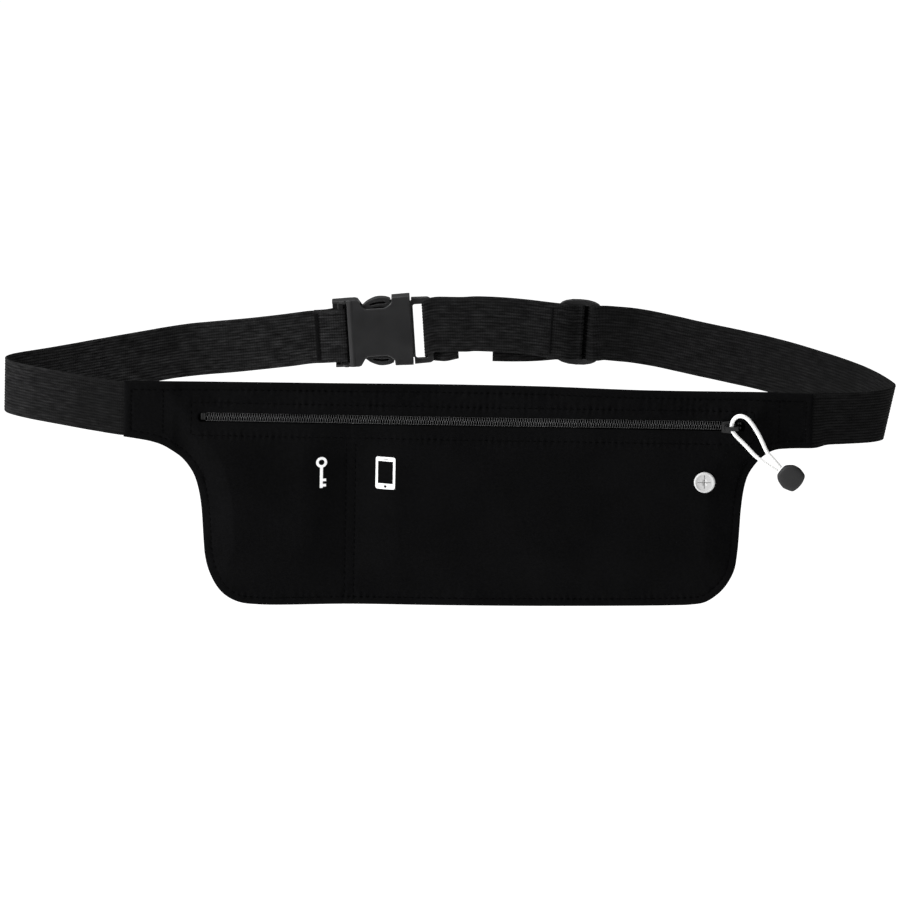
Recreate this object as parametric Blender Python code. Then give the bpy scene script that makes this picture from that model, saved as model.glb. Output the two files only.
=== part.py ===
"""Money belt: flat zipped waist pouch on an elastic webbing belt with an adjuster slide and a side-release buckle.

Written in metres through MM. +X runs along the pouch from the key pocket to the zip's pull end, +Y from the pouch to the
small of the back, +Z up. The origin is the middle of the waist loop at the height of the pouch's webbing.
"""

import math

import bmesh
import bpy
import numpy as np
from mathutils import Matrix, Vector
from mathutils.bvhtree import BVHTree

for old in list(bpy.data.objects):
    bpy.data.objects.remove(old)

MM = 0.001
GAP = 0.3  # clearance between pieces that touch

# --- belt webbing
WEB_W, WEB_WIDE = 26.0, 26.6  # elastic webbing, nominally 1 in: the left strap, and the two straps right of the buckle
WEB_T = 0.9
PLY = WEB_T + GAP

# --- pouch
POUCH_Y = -62.0  # middle of the back panel
FABRIC_T = 1.0
POCKET_DEPTH = 5.2  # room between the panels at the middle of the main pocket
SEAM_X = -46.8  # seam between key pocket and main pocket
ZIP_Z = -2.4
ZIP_X0, ZIP_X1 = -121.5, 134.6  # visible run of the coil
SLIT_H = 4.4
SLIDER_X = 136.0

# Half pattern of the pouch: lower edge, left to right, then the upper edge.
LOWER_EDGE = [(-156.5, -13.6), (-149.6, -14.6), (-143.8, -15.6), (-138.0, -17.4), (-132.7, -20.4), (-127.8, -24.4),
              (-124.4, -28.6), (-122.0, -33.0), (-120.0, -39.6), (-118.6, -48.0), (-117.4, -63.0), (-116.6, -71.6),
              (-114.6, -79.4), (-110.6, -87.2), (-106.4, -91.6), (-100.0, -94.8), (-90.0, -95.9), (-46.0, -94.8),
              (0.0, -94.7), (48.0, -94.2), (108.0, -92.8), (117.0, -92.3), (124.0, -91.0), (130.1, -86.9),
              (134.2, -82.2), (137.8, -74.9), (139.1, -66.9), (139.8, -57.0), (140.6, -43.1), (142.2, -32.0),
              (144.4, -25.9), (150.0, -18.4), (155.8, -14.8), (162.0, -13.9), (174.0, -13.5)]
UPPER_EDGE = [(-156.5, 13.6), (-120.0, 13.9), (-60.0, 14.2), (0.0, 14.6), (46.0, 14.4), (92.0, 13.4), (150.0, 13.5),
              (174.0, 13.4)]

# --- eyelet for an earphone lead
EYELET_X, EYELET_Z = 122.7, -30.0
EYELET_R = 5.1

# --- buckle, in its own frame: s along the belt, h across it, e away from the wearer
BUCKLE_O = (-38.4, 59.0, 10.4)
BUCKLE_SLOPE = math.radians(4.5)
HOUSE_T = 3.8
# --- slide adjuster
GLIDE_O = (61.4, 59.0, 11.8)
GLIDE_SLOPE = math.radians(-2.9)


def material(name, rgb, rough, metal=0.0):
    m = bpy.data.materials.new(name)
    m.use_nodes = True
    p = m.node_tree.nodes["Principled BSDF"]
    p.inputs["Base Color"].default_value = (*rgb, 1.0)
    p.inputs["Roughness"].default_value = rough
    p.inputs["Metallic"].default_value = metal
    return m


BLACK_FABRIC = ("black knit", (0.006, 0.006, 0.007), 0.9)
BLACK_WEB = ("elastic webbing", (0.014, 0.014, 0.015), 0.85)
BLACK_PLASTIC = ("acetal", (0.02, 0.02, 0.021), 0.45)
COIL = ("nylon coil", (0.03, 0.03, 0.032), 0.5)
DARK_METAL = ("black enamelled zinc", (0.03, 0.03, 0.032), 0.4, 0.3)
WHITE_CORD = ("white cord", (0.85, 0.85, 0.85), 0.8)
GREY_TIP = ("grey rubber", (0.045, 0.045, 0.047), 0.6)
GREY_EYELET = ("light grey rubber", (0.55, 0.55, 0.56), 0.55)
WHITE_PRINT = ("white print", (0.85, 0.85, 0.85), 0.7)
THREAD = ("black thread", (0.012, 0.012, 0.013), 0.8)


def add(name, verts, faces, look):
    """One closed mesh in millimetres, faces turned outwards."""
    mesh = bpy.data.meshes.new(name)
    mesh.from_pydata([[c * MM for c in v] for v in verts], [], faces)
    b = bmesh.new()
    b.from_mesh(mesh)
    bmesh.ops.recalc_face_normals(b, faces=b.faces)
    if b.calc_volume(signed=True) < 0:
        bmesh.ops.reverse_faces(b, faces=b.faces)
    b.to_mesh(mesh)
    b.free()
    obj = bpy.data.objects.new(name, mesh)
    bpy.context.scene.collection.objects.link(obj)
    if look:
        mesh.materials.append(material(name + " " + look[0], *look[1:]))
    return obj


def prism(name, outline, lo, hi, look, place=None):
    """Outline of (s, h) pairs extruded from e = lo to hi, put in the world by place(s, h, e)."""
    place = place or (lambda s, h, e: (s, e, h))
    n = len(outline)
    verts = [place(s, h, lo) for s, h in outline] + [place(s, h, hi) for s, h in outline]
    faces = [list(range(n)), list(range(2 * n - 1, n - 1, -1))]
    faces += [[i, (i + 1) % n, n + (i + 1) % n, n + i] for i in range(n)]
    return add(name, verts, faces, look)


def cut(obj, cutter, operation="DIFFERENCE"):
    """Boolean applied at once, and the cutter removed."""
    m = obj.modifiers.new("cut", "BOOLEAN")
    m.operation, m.object, m.solver = operation, cutter, "EXACT"
    graph = bpy.context.evaluated_depsgraph_get()
    mesh = bpy.data.meshes.new_from_object(obj.evaluated_get(graph))
    obj.modifiers.clear()
    old = obj.data
    mats = list(old.materials)
    obj.data = mesh
    mesh.materials.clear()
    for m in mats:
        mesh.materials.append(m)
    bpy.data.objects.remove(cutter)


def hang_on(obj, point):
    """Puts the origin of a moving piece on its joint's axis, at a point in millimetres."""
    at = Vector([c * MM for c in point])
    obj.data.transform(Matrix.Translation(-at))
    obj.location = at


def frame(origin, slope):
    """place(s, h, e) for hardware that lies along the belt, sloping up to +X by slope."""
    c, q = math.cos(slope), math.sin(slope)
    return lambda s, h, e: (origin[0] + s * c - h * q, origin[1] + e, origin[2] + s * q + h * c)


def box(name, s0, s1, h0, h1, e0, e1, look=None, place=None):
    return prism(name, [(s0, h0), (s1, h0), (s1, h1), (s0, h1)], e0, e1, look, place)


def rounded(s0, s1, h0, h1, r, n=5):
    pts = []
    for cx, cy, a in ((s1 - r, h0 + r, -90), (s1 - r, h1 - r, 0), (s0 + r, h1 - r, 90), (s0 + r, h0 + r, 180)):
        for i in range(n + 1):
            t = math.radians(a + 90 * i / n)
            pts.append((cx + r * math.cos(t), cy + r * math.sin(t)))
    return pts


def curve_through(points, step):
    """Centripetal Catmull-Rom through the points, sampled about every step millimetres."""
    p = np.array(points, float)
    p = np.vstack([2 * p[0] - p[1], p, 2 * p[-1] - p[-2]])
    out = []
    for i in range(1, len(p) - 2):
        a, b, c, d = p[i - 1:i + 3]
        t = np.cumsum([0] + [max(np.linalg.norm(v[:3]), 1e-6) ** 0.5 for v in (b - a, c - b, d - c)])
        n = max(1, round(np.linalg.norm((c - b)[:3]) / step))
        for u in np.linspace(t[1], t[2], n, endpoint=False):
            q1 = (t[1] - u) / (t[1] - t[0]) * a + (u - t[0]) / (t[1] - t[0]) * b
            q2 = (t[2] - u) / (t[2] - t[1]) * b + (u - t[1]) / (t[2] - t[1]) * c
            q3 = (t[3] - u) / (t[3] - t[2]) * c + (u - t[2]) / (t[3] - t[2]) * d
            r1 = (t[2] - u) / (t[2] - t[0]) * q1 + (u - t[0]) / (t[2] - t[0]) * q2
            r2 = (t[3] - u) / (t[3] - t[1]) * q2 + (u - t[1]) / (t[3] - t[1]) * q3
            out.append((t[2] - u) / (t[2] - t[1]) * r1 + (u - t[1]) / (t[2] - t[1]) * r2)
    out.append(p[-2])
    return [tuple(q) for q in out]


def ribbon(name, stations, look, thick=WEB_T, width=WEB_W, skewed=False):
    """Webbing through stations of (x, y, z, outward lean in degrees, and a vector that its width stays closest to)."""
    pts = [Vector(s[:3]) for s in stations]
    lean = [math.radians(s[3]) for s in stations]
    verts, faces = [], []
    for i, p in enumerate(pts):
        t = (pts[min(i + 1, len(pts) - 1)] - pts[max(i - 1, 0)]).normalized()
        wanted = Vector(stations[i][4:7])
        up = wanted.normalized() if skewed else (wanted - t * t.dot(wanted)).normalized()
        n = t.cross(up).normalized()
        up = up * math.cos(lean[i]) - n * math.sin(lean[i])
        n = t.cross(up).normalized()
        for a, b in ((-1, -1), (1, -1), (1, 1), (-1, 1)):
            verts.append(p + n * (a * thick / 2) + up * (b * width / 2))
    for i in range(len(pts) - 1):
        for k in range(4):
            a, b = 4 * i + k, 4 * i + (k + 1) % 4
            faces.append([a, b, b + 4, a + 4])
    last = 4 * (len(pts) - 1)
    faces += [[0, 1, 2, 3], [last + 3, last + 2, last + 1, last]]
    return add(name, verts, faces, look)


def around(cx, ce, a, b, r, corners):
    """Centre line of webbing going round a bar of half sizes a and b, over the corners named in order."""
    sign = {"right-in": (1, -1), "right-out": (1, 1), "left-in": (-1, -1), "left-out": (-1, 1)}
    pts = []
    order = [sign[c] for c in corners]
    for i, (u, v) in enumerate(order):
        start_flat = i == 0  # arrives along the flat face and leaves round the end, then the other way
        angles = (90, 45, 0) if start_flat else (0, 45, 90)
        for t in angles:
            q = math.radians(t)
            pts.append((cx + u * (a + r * math.cos(q)), ce + v * (b + r * math.sin(q))))
    return pts


# ---------------------------------------------------------------- pouch panels
def smooth(t):
    t = min(1.0, max(0.0, t))
    return t * t * (3 - 2 * t)


def edge_at(edge, x):
    return float(np.interp(x, [p[0] for p in edge], [p[1] for p in edge]))


def fullness(x, z):
    """How far the front panel stands off the back panel at (x, z), in millimetres."""
    lo, hi = edge_at(LOWER_EDGE, x), edge_at(UPPER_EDGE, x)
    rise = smooth((z - lo - 3.0) / 26.0) * smooth((hi - z - 2.0) / 13.0)
    ends = smooth((x + 139.0) / 13.0) * smooth((158.0 - x) / 15.0)
    pinch = (1 - smooth(abs(x - SEAM_X) / 24.0)) * (1 - smooth((z + 23.0) / 14.0))
    puff = (POCKET_DEPTH if x > SEAM_X else POCKET_DEPTH - 0.4) * rise * ends * (1 - pinch)
    wing = PLY * max(smooth((-128.0 - x) / 6.0), smooth((x - 142.0) / 8.0))
    return GAP + max(puff, 0.0) + wing


def front_back_face(x, z):
    """y of the front panel's inner face."""
    return POUCH_Y - FABRIC_T / 2 - fullness(x, z)


def front_face(x, z):
    return front_back_face(x, z) - FABRIC_T


def columns():
    xs = {p[0] for p in LOWER_EDGE}
    xs |= {round(v, 2) for v in np.linspace(-156.5, 174.0, 50)}
    xs |= {SEAM_X + u for u in (-24, -17, -11, -6.5, -3.4, 0, 3.4, 6.5, 11, 17, 24)}
    xs = sorted(xs)
    kept = [xs[0]]
    for x in xs[1:]:
        if x - kept[-1] > 1.2 or x == SEAM_X:
            kept.append(x)
    kept[-1] = xs[-1]
    return kept


outline = [(x, z) for x, z in LOWER_EDGE] + [(x, z) for x, z in reversed(UPPER_EDGE)]
prism("pouch_back_panel", outline, POUCH_Y - FABRIC_T / 2, POUCH_Y + FABRIC_T / 2, BLACK_FABRIC)

xs = columns()
ROWS = [0, 0.03, 0.09, 0.18, 0.3, 0.42, 0.54, 0.66, 0.76, 0.84, 0.9, 0.95, 1.0]
verts, faces = [], []
nr = len(ROWS)
for side in (0, 1):
    for x in xs:
        lo, hi = edge_at(LOWER_EDGE, x), edge_at(UPPER_EDGE, x)
        for r in ROWS:
            z = lo + (hi - lo) * r
            y = front_back_face(x, z) if side else front_face(x, z)
            verts.append((x, y, z))
nc = len(xs)
vid = lambda s, c, r: s * nc * nr + c * nr + r
for c in range(nc - 1):
    for r in range(nr - 1):
        faces.append([vid(0, c, r), vid(0, c + 1, r), vid(0, c + 1, r + 1), vid(0, c, r + 1)])
        faces.append([vid(1, c, r), vid(1, c, r + 1), vid(1, c + 1, r + 1), vid(1, c + 1, r)])
for c in range(nc - 1):
    for r in (0, nr - 1):
        faces.append([vid(0, c, r), vid(0, c + 1, r), vid(1, c + 1, r), vid(1, c, r)])
for r in range(nr - 1):
    for c in (0, nc - 1):
        faces.append([vid(0, c, r), vid(0, c, r + 1), vid(1, c, r + 1), vid(1, c, r)])
front = add("pouch_front_panel", verts, faces, BLACK_FABRIC)
panel_tree = BVHTree.FromPolygons([Vector(v) for v in verts], faces)


def on_panel(x, z, spread=0.0):
    """y of the panel's front surface as meshed, the foremost within spread of (x, z)."""
    found = []
    for u, v in ((0, 0), (spread, 0), (-spread, 0), (0, spread), (0, -spread)) if spread else ((0, 0),):
        hit = panel_tree.ray_cast(Vector((x + u, POUCH_Y - 40, z + v)), Vector((0, 1, 0)))[0]
        if hit is not None:
            found.append(hit.y)
    return min(found) if found else front_face(x, z)


slit = prism("slit", rounded(ZIP_X0 - 1.0, ZIP_X1 + 7.2, ZIP_Z - SLIT_H / 2, ZIP_Z + SLIT_H / 2, 2.0, 4), POUCH_Y - 14,
             POUCH_Y - 0.6, None)
cut(front, slit)
port = prism("port", [(EYELET_X + 3.3 * math.cos(a), EYELET_Z + 3.3 * math.sin(a)) for a in np.linspace(0, 2 * math.pi, 24, endpoint=False)],
             POUCH_Y - 14, POUCH_Y - 0.6, None)
cut(front, port)


# ---------------------------------------------------------------- zip
def along_zip(name, profile, look, x0=None, x1=None, step=9.0, offset=0.0):
    """Profile of (e, z) pairs swept along the zip, e measured inwards from the front panel's inner face."""
    x0, x1 = ZIP_X0 if x0 is None else x0, ZIP_X1 if x1 is None else x1
    n = max(2, round((x1 - x0) / step))
    verts, faces, k = [], [], len(profile)
    for x in np.linspace(x0, x1, n + 1):
        base = zip_plane(x)
        verts += [(x, base + e, ZIP_Z + z) for e, z in profile]
    for i in range(n):
        for j in range(k):
            a, b = i * k + j, i * k + (j + 1) % k
            faces.append([a, b, b + k, a + k])
    faces += [list(range(k)), list(range(n * k + k - 1, n * k - 1, -1))]
    return add(name, verts, faces, look)


def zip_plane(x):
    """y of the front face of the zip's tapes: it lies just behind the slit's edges."""
    rear = []
    for u in (-3.0, 0.0, 3.0):
        for v in (-7.2, -4.5, -SLIT_H / 2, SLIT_H / 2, 4.5, 7.2):
            hit = panel_tree.ray_cast(Vector((x + u, POUCH_Y + 5, ZIP_Z + v)), Vector((0, -1, 0)))[0]
            if hit is not None:
                rear.append(hit.y)
    return max(rear) + GAP


TAPE_T = 0.5
along_zip("zip_tape_upper", [(0, 1.05), (TAPE_T, 1.05), (TAPE_T, 7.0), (0, 7.0)], BLACK_FABRIC, ZIP_X0 - 4.0, ZIP_X1 + 9.0)
along_zip("zip_tape_lower", [(0, -7.0), (TAPE_T, -7.0), (TAPE_T, -1.05), (0, -1.05)], BLACK_FABRIC, ZIP_X0 - 4.0, ZIP_X1 + 9.0)

# Each coil is a spine with teeth towards the middle of the zip.
COIL_T, TOOTH_PITCH = 1.2, 2.4
COIL_E0 = -GAP - COIL_T
for name, side in (("zip_coil_upper", 1), ("zip_coil_lower", -1)):
    prof = []
    x0, x1 = ZIP_X0 + 2.2, SLIDER_X - 6.0
    n = int((x1 - x0) / TOOTH_PITCH)
    inner, outer, root = 0.25, 1.95, 1.05
    edge = []
    for i in range(n):
        a = x0 + i * TOOTH_PITCH + (0 if side > 0 else TOOTH_PITCH / 2)
        edge += [(a + 0.15, root), (a + 0.35, inner), (a + 1.25, inner), (a + 1.45, root)]
    edge = [(x0, root)] + edge + [(edge[-1][0] + 0.4, root)]
    verts, faces = [], []
    for x, z in edge:
        p = zip_plane(x)
        verts += [(x, p + COIL_E0, ZIP_Z + side * z), (x, p + COIL_E0, ZIP_Z + side * outer),
                  (x, p - GAP, ZIP_Z + side * outer), (x, p - GAP, ZIP_Z + side * z)]
    for i in range(len(edge) - 1):
        faces += [[4 * i + j, 4 * i + (j + 1) % 4, 4 * i + 4 + (j + 1) % 4, 4 * i + 4 + j] for j in range(4)]
    m = 4 * (len(edge) - 1)
    faces += [[0, 1, 2, 3], [m + 3, m + 2, m + 1, m]]
    add(name, verts, faces, COIL)

for name, x0, z0, z1 in (("zip_stop_left", ZIP_X0 - 0.3, -1.9, 1.9), ("zip_stop_right_upper", ZIP_X1 + 3.3, 0.5, 1.9),
                         ("zip_stop_right_lower", ZIP_X1 + 3.3, -1.9, -0.5)):
    p = zip_plane(x0 + 1)
    box(name, x0, x0 + 2.0, ZIP_Z + z0, ZIP_Z + z1, p - GAP - 1.2, p - GAP, DARK_METAL)

# ---------------------------------------------------------------- slider: two plates joined at the throat, with a bridge on top
footprint = [SLIDER_X + u for u in (-5.6, -3.5, -2.0, 0.0, 1.4)]
sp = min(front_face(x, ZIP_Z + v) for x in footprint for v in (-3.4, -2.3, 2.3, 3.4)) - GAP + 1.85  # 1.85 behind the front plate
sb = max(zip_plane(x) for x in footprint) + TAPE_T + GAP  # front face of the back plate
body = prism("zip_slider", [(SLIDER_X - 5.6, ZIP_Z - 2.5), (SLIDER_X - 4.9, ZIP_Z - 2.9), (SLIDER_X - 1.6, ZIP_Z - 3.4),
                            (SLIDER_X + 0.6, ZIP_Z - 2.6), (SLIDER_X + 1.4, ZIP_Z), (SLIDER_X + 0.6, ZIP_Z + 2.6),
                            (SLIDER_X - 1.6, ZIP_Z + 3.4), (SLIDER_X - 4.9, ZIP_Z + 2.9), (SLIDER_X - 5.6, ZIP_Z + 2.5)],
             sp - 2.9, sb + 0.9, DARK_METAL)
# room between the plates for the coils and their tapes; the throat post is left at the open end
cut(body, box("channel", SLIDER_X - 7.0, SLIDER_X - 2.2, ZIP_Z - 5.0, ZIP_Z + 5.0, sp - 1.85, sb))
for side in (1, -1):
    cut(body, prism("mouth", [(SLIDER_X - 2.3, ZIP_Z + side * 0.7), (SLIDER_X + 2.0, ZIP_Z + side * 0.2 + side * 0.1),
                              (SLIDER_X + 2.0, ZIP_Z + side * 4.2), (SLIDER_X - 2.3, ZIP_Z + side * 4.2)],
                    sp - 1.83, sb - 0.02, None))
# the bridge that the cord runs under, standing on the front plate
BRIDGE_X = SLIDER_X + 0.4
bridge = prism("bridge", [(SLIDER_X - 4.6, sp - 2.6), (SLIDER_X - 4.2, sp - 5.4), (SLIDER_X - 3.4, sp - 6.3), (BRIDGE_X + 0.2, sp - 6.3),
                          (BRIDGE_X + 1.9, sp - 5.7), (BRIDGE_X + 2.3, sp - 4.6), (BRIDGE_X + 1.9, sp - 3.9), (BRIDGE_X + 1.3, sp - 4.4), (BRIDGE_X + 0.4, sp - 5.4),
                          (SLIDER_X - 2.6, sp - 5.4), (SLIDER_X - 3.1, sp - 4.6), (SLIDER_X - 3.3, sp - 2.6)],
               ZIP_Z - 1.0, ZIP_Z + 1.0, None, lambda s, h, e: (s, h, e))
cut(body, bridge, "UNION")
hang_on(body, (SLIDER_X, sp - 1.85, ZIP_Z))

# ---------------------------------------------------------------- pull: a loop of cord and a moulded tip
CORD_D = 1.9
TIP_Y = front_face(120, -30) - 3.95  # clear of the fullest part of the pouch and of the eyelet as the slider runs
eye = (SLIDER_X - 0.8, sp - 4.15, ZIP_Z)
path = [(158.9, TIP_Y, -21.2), (155.9, TIP_Y + 0.05, -17.6), (152.6, TIP_Y + 0.1, -13.9), (148.6, sp - 5.0, -5.9), (144.9, sp - 4.6, -0.1),
        (141.9, sp - 4.2, 2.9), (138.8, sp - 4.0, 3.6), (136.2, sp - 4.05, 2.0), eye[:2] + (ZIP_Z,),
        (136.3, sp - 4.05, -4.9), (138.4, sp - 4.0, -7.3), (141.6, sp - 4.3, -10.4), (147.4, sp - 4.9, -16.2), (153.6, TIP_Y + 0.1, -20.6),
        (157.4, TIP_Y, -23.0)]
loop = curve_through(path, 2.2)
cu = bpy.data.curves.new("pull_cord", "CURVE")
cu.dimensions = "3D"
cu.bevel_depth = CORD_D / 2 * MM
cu.bevel_resolution = 2
cu.use_fill_caps = True
sp_line = cu.splines.new("POLY")
sp_line.points.add(len(loop) - 1)
for q, p in zip(sp_line.points, loop):
    q.co = (p[0] * MM, p[1] * MM, p[2] * MM, 1)
cord = bpy.data.objects.new("pull_cord", cu)
bpy.context.scene.collection.objects.link(cord)
cu.materials.append(material("pull_cord white cord", *WHITE_CORD[1:]))

TIP = [(157.2, -24.9), (159.4, -21.8), (161.2, -19.9), (165.4, -19.7), (168.6, -21.5), (171.1, -25.0), (169.6, -28.7), (167.5, -31.2), (165.0, -33.0),
       (160.2, -31.1), (157.8, -27.6)]
tip_c = (sum(p[0] for p in TIP) / len(TIP), sum(p[1] for p in TIP) / len(TIP))
rings = [(0.80, -2.1), (0.97, -1.3), (1.0, 0.0), (0.97, 1.3), (0.80, 2.1)]
k = len(TIP)
verts = [(tip_c[0] + (x - tip_c[0]) * f, TIP_Y + e, tip_c[1] + (z - tip_c[1]) * f) for f, e in rings for x, z in TIP]
faces = [list(range(k)), list(range(len(verts) - 1, len(verts) - k - 1, -1))]
for i in range(len(rings) - 1):
    faces += [[i * k + j, i * k + (j + 1) % k, (i + 1) * k + (j + 1) % k, (i + 1) * k + j] for j in range(k)]
tip = add("pull_tip", verts, faces, GREY_TIP)
hang_on(tip, eye)
hang_on(cord, eye)

# ---------------------------------------------------------------- eyelet: front flange with a cross slit, barrel, and a washer behind
ey = front_face(EYELET_X, EYELET_Z)
ring = lambda r, n=32: [(EYELET_X + r * math.cos(2 * math.pi * i / n), EYELET_Z + r * math.sin(2 * math.pi * i / n)) for i in range(n)]
tilt = [min(front_face(EYELET_X + u, EYELET_Z + v) for u, v in ((5.1, 0), (-5.1, 0), (0, 5.1), (0, -5.1), (3.6, 3.6), (-3.6, -3.6), (-3.6, 3.6), (3.6, -3.6)))][0]
flange_y = min(ey, tilt) - GAP
verts, faces = [], []
levels = [(4.55, flange_y - 1.0), (5.1, flange_y - 0.55), (5.1, flange_y)]
n = 32
for r, y in levels:
    verts += [(x, y, z) for x, z in ring(r, n)]
faces = [list(range(n)), list(range(3 * n - 1, 2 * n - 1, -1))]
for i in range(2):
    faces += [[i * n + j, i * n + (j + 1) % n, (i + 1) * n + (j + 1) % n, (i + 1) * n + j] for j in range(n)]
eyelet = add("eyelet_front", verts, faces, GREY_EYELET)
back_y = max(front_back_face(EYELET_X + u, EYELET_Z + v) for u in (-4.6, 0, 4.6) for v in (-4.6, 0, 4.6)) + GAP
cut(eyelet, prism("barrel", ring(3.0), flange_y - 0.2, back_y + 1.3, None), "UNION")
cut(eyelet, prism("bore", ring(2.2, 20), flange_y - 0.1, back_y + 2.0, None))
cut(eyelet, box("slit_a", EYELET_X - 1.9, EYELET_X + 1.9, EYELET_Z - 0.16, EYELET_Z + 0.16, flange_y - 2, flange_y + 0.5))
cut(eyelet, box("slit_b", EYELET_X - 0.16, EYELET_X + 0.16, EYELET_Z - 1.9, EYELET_Z + 1.9, flange_y - 2, flange_y + 0.5))
washer = prism("eyelet_back", ring(4.6), back_y, back_y + 0.8, GREY_EYELET)
cut(washer, prism("hole", ring(3.3), back_y - 1, back_y + 2, None))


# ---------------------------------------------------------------- prints on the front panel: a key and a telephone
def print_on(name, solid):
    """Lays a flat print, built from y = 0 (front) to y = 1 (back), on the panel."""
    for v in solid.data.vertices:
        x, y, z = v.co / MM
        v.co.y = (on_panel(x, z, 0.5) - GAP - (0.3 if y < 0.5 else 0.0)) * MM
    solid.data.update()


circle = lambda x, z, r, n=20: [(x + r * math.cos(2 * math.pi * i / n), z + r * math.sin(2 * math.pi * i / n)) for i in range(n)]
KEY_X, KEY_Z = -61.4, -23.4
key = prism("print_key", circle(KEY_X, KEY_Z, 2.7), 0, 1, WHITE_PRINT)
cut(key, box("shaft", KEY_X - 0.8, KEY_X + 0.8, KEY_Z - 12.6, KEY_Z - 1.9, 0, 1), "UNION")
cut(key, box("bit_a", KEY_X, KEY_X + 2.5, KEY_Z - 12.0, KEY_Z - 10.7, 0, 1), "UNION")
cut(key, box("bit_b", KEY_X, KEY_X + 2.5, KEY_Z - 9.4, KEY_Z - 8.1, 0, 1), "UNION")
cut(key, prism("ring_hole", circle(KEY_X, KEY_Z, 1.2), -1, 2, None))
print_on("print_key", key)
PHONE_X, PHONE_Z = -30.5, -28.5
phone = prism("print_phone", rounded(PHONE_X - 4.7, PHONE_X + 4.7, PHONE_Z - 7.9, PHONE_Z + 7.9, 1.1, 3), 0, 1, WHITE_PRINT)
cut(phone, box("screen", PHONE_X - 3.6, PHONE_X + 3.6, PHONE_Z - 5.2, PHONE_Z + 5.8, -1, 2))
cut(phone, box("speaker", PHONE_X - 1.2, PHONE_X + 1.2, PHONE_Z + 6.65, PHONE_Z + 7.05, -1, 2))
cut(phone, prism("button", circle(PHONE_X, PHONE_Z - 6.6, 0.65, 12), -1, 2, None))
print_on("print_phone", phone)

# two rows of stitching between the key pocket and the main pocket
for name, x0 in (("pocket_seam_row_left", SEAM_X - 2.4), ("pocket_seam_row_right", SEAM_X + 1.6)):
    verts, faces = [], []
    zs = list(np.linspace(-15.0, -92.4, 22))
    for z in zs:
        y = min(on_panel(x0, z), on_panel(x0 + 0.8, z), on_panel(x0 + 0.4, z)) - GAP
        verts += [(x0, y, z), (x0 + 0.8, y, z), (x0 + 0.8, y - 0.35, z), (x0, y - 0.35, z)]
    for i in range(len(zs) - 1):
        faces += [[4 * i + j, 4 * i + (j + 1) % 4, 4 * i + 4 + (j + 1) % 4, 4 * i + 4 + j] for j in range(4)]
    m = 4 * (len(zs) - 1)
    faces += [[0, 1, 2, 3], [m + 3, m + 2, m + 1, m]]
    add(name, verts, faces, THREAD)

# ---------------------------------------------------------------- buckle
B = frame(BUCKLE_O, BUCKLE_SLOPE)
HOUSE = [(-18.4, -16.4), (-7.2, -16.6), (-6.0, -16.2), (-5.3, -15.2), (-3.9, -12.9), (-2.4, -11.9), (6.6, -11.9), (8.6, -12.9), (10.2, -14.4), (10.3, -17.0), (19.2, -17.2),
         (19.2, 17.2), (10.3, 17.0), (10.2, 14.4), (8.6, 12.9), (6.6, 11.9), (-2.4, 11.9), (-3.9, 12.9), (-5.3, 15.2), (-6.0, 16.2), (-7.2, 16.6), (-18.4, 16.4)]
house = prism("buckle_housing", HOUSE, -HOUSE_T, HOUSE_T, BLACK_PLASTIC, B)
cut(house, box("cavity", -8.6, 25.0, -14.6, 14.6, -2.5, 2.5, None, B))
cut(house, box("left_room", -20.0, -15.9, -15.2, 15.2, -9, 2.9, None, B))
cut(house, box("strap_slot", -13.2, -10.8, -14.25, 14.25, -2.9, 2.9, None, B))
cut(house, box("bar_outside", -19.5, -12.1, -15.25, 15.25, 1.3, 2.88, None, B))
cut(house, box("bar_inside", -19.6, -11.6, -15.3, 15.3, -9, -1.3, None, B))
cut(house, box("thin_in", -20.5, -14.2, -20, 20, -9, -2.8, None, B))

male = prism("buckle_male", [(16.8, -13.9), (19.8, -13.9), (19.8, -17.4), (27.6, -17.1), (29.0, -16.2), (29.0, 14.8), (27.6, 15.5), (19.8, 15.7), (19.8, 13.9), (16.8, 13.9)],
             -1.3, 1.3, BLACK_PLASTIC, B)
cut(male, box("loop_slot", 20.4, 26.3, -14.65, 12.35, -5, 5, None, B))
cut(male, box("base", 17.1, 19.5, -13.5, 13.5, -2.0, 2.0, None, B), "UNION")
cut(male, prism("guide", [(17.9, -2.2), (17.9, 2.2), (-5.6, 1.5), (-6.4, 0.9), (-6.4, -0.9), (-5.6, -1.5)], -1.6, 1.6, None, B), "UNION")
PRONG = [(16.5, 10.3), (16.5, 12.7), (10.0, 13.7), (9.7, 15.8), (7.4, 16.7), (4.2, 16.9), (1.0, 16.2), (-2.0, 14.7), (-4.2, 12.8), (-5.3, 11.3),
         (-4.4, 10.5), (-2.4, 11.3), (1.0, 13.0), (4.6, 13.5), (8.4, 12.3), (12.0, 11.1)]
PIVOT = (16.5, 11.5)
for name, side in (("buckle_prong_upper", 1), ("buckle_prong_lower", -1)):
    prong = prism(name, [(s, side * h) for s, h in PRONG], -2.1, 2.1, BLACK_PLASTIC, B)
    hang_on(prong, B(PIVOT[0], side * PIVOT[1], 0.0))
hang_on(male, B(16.8, 0, 0))

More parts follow.
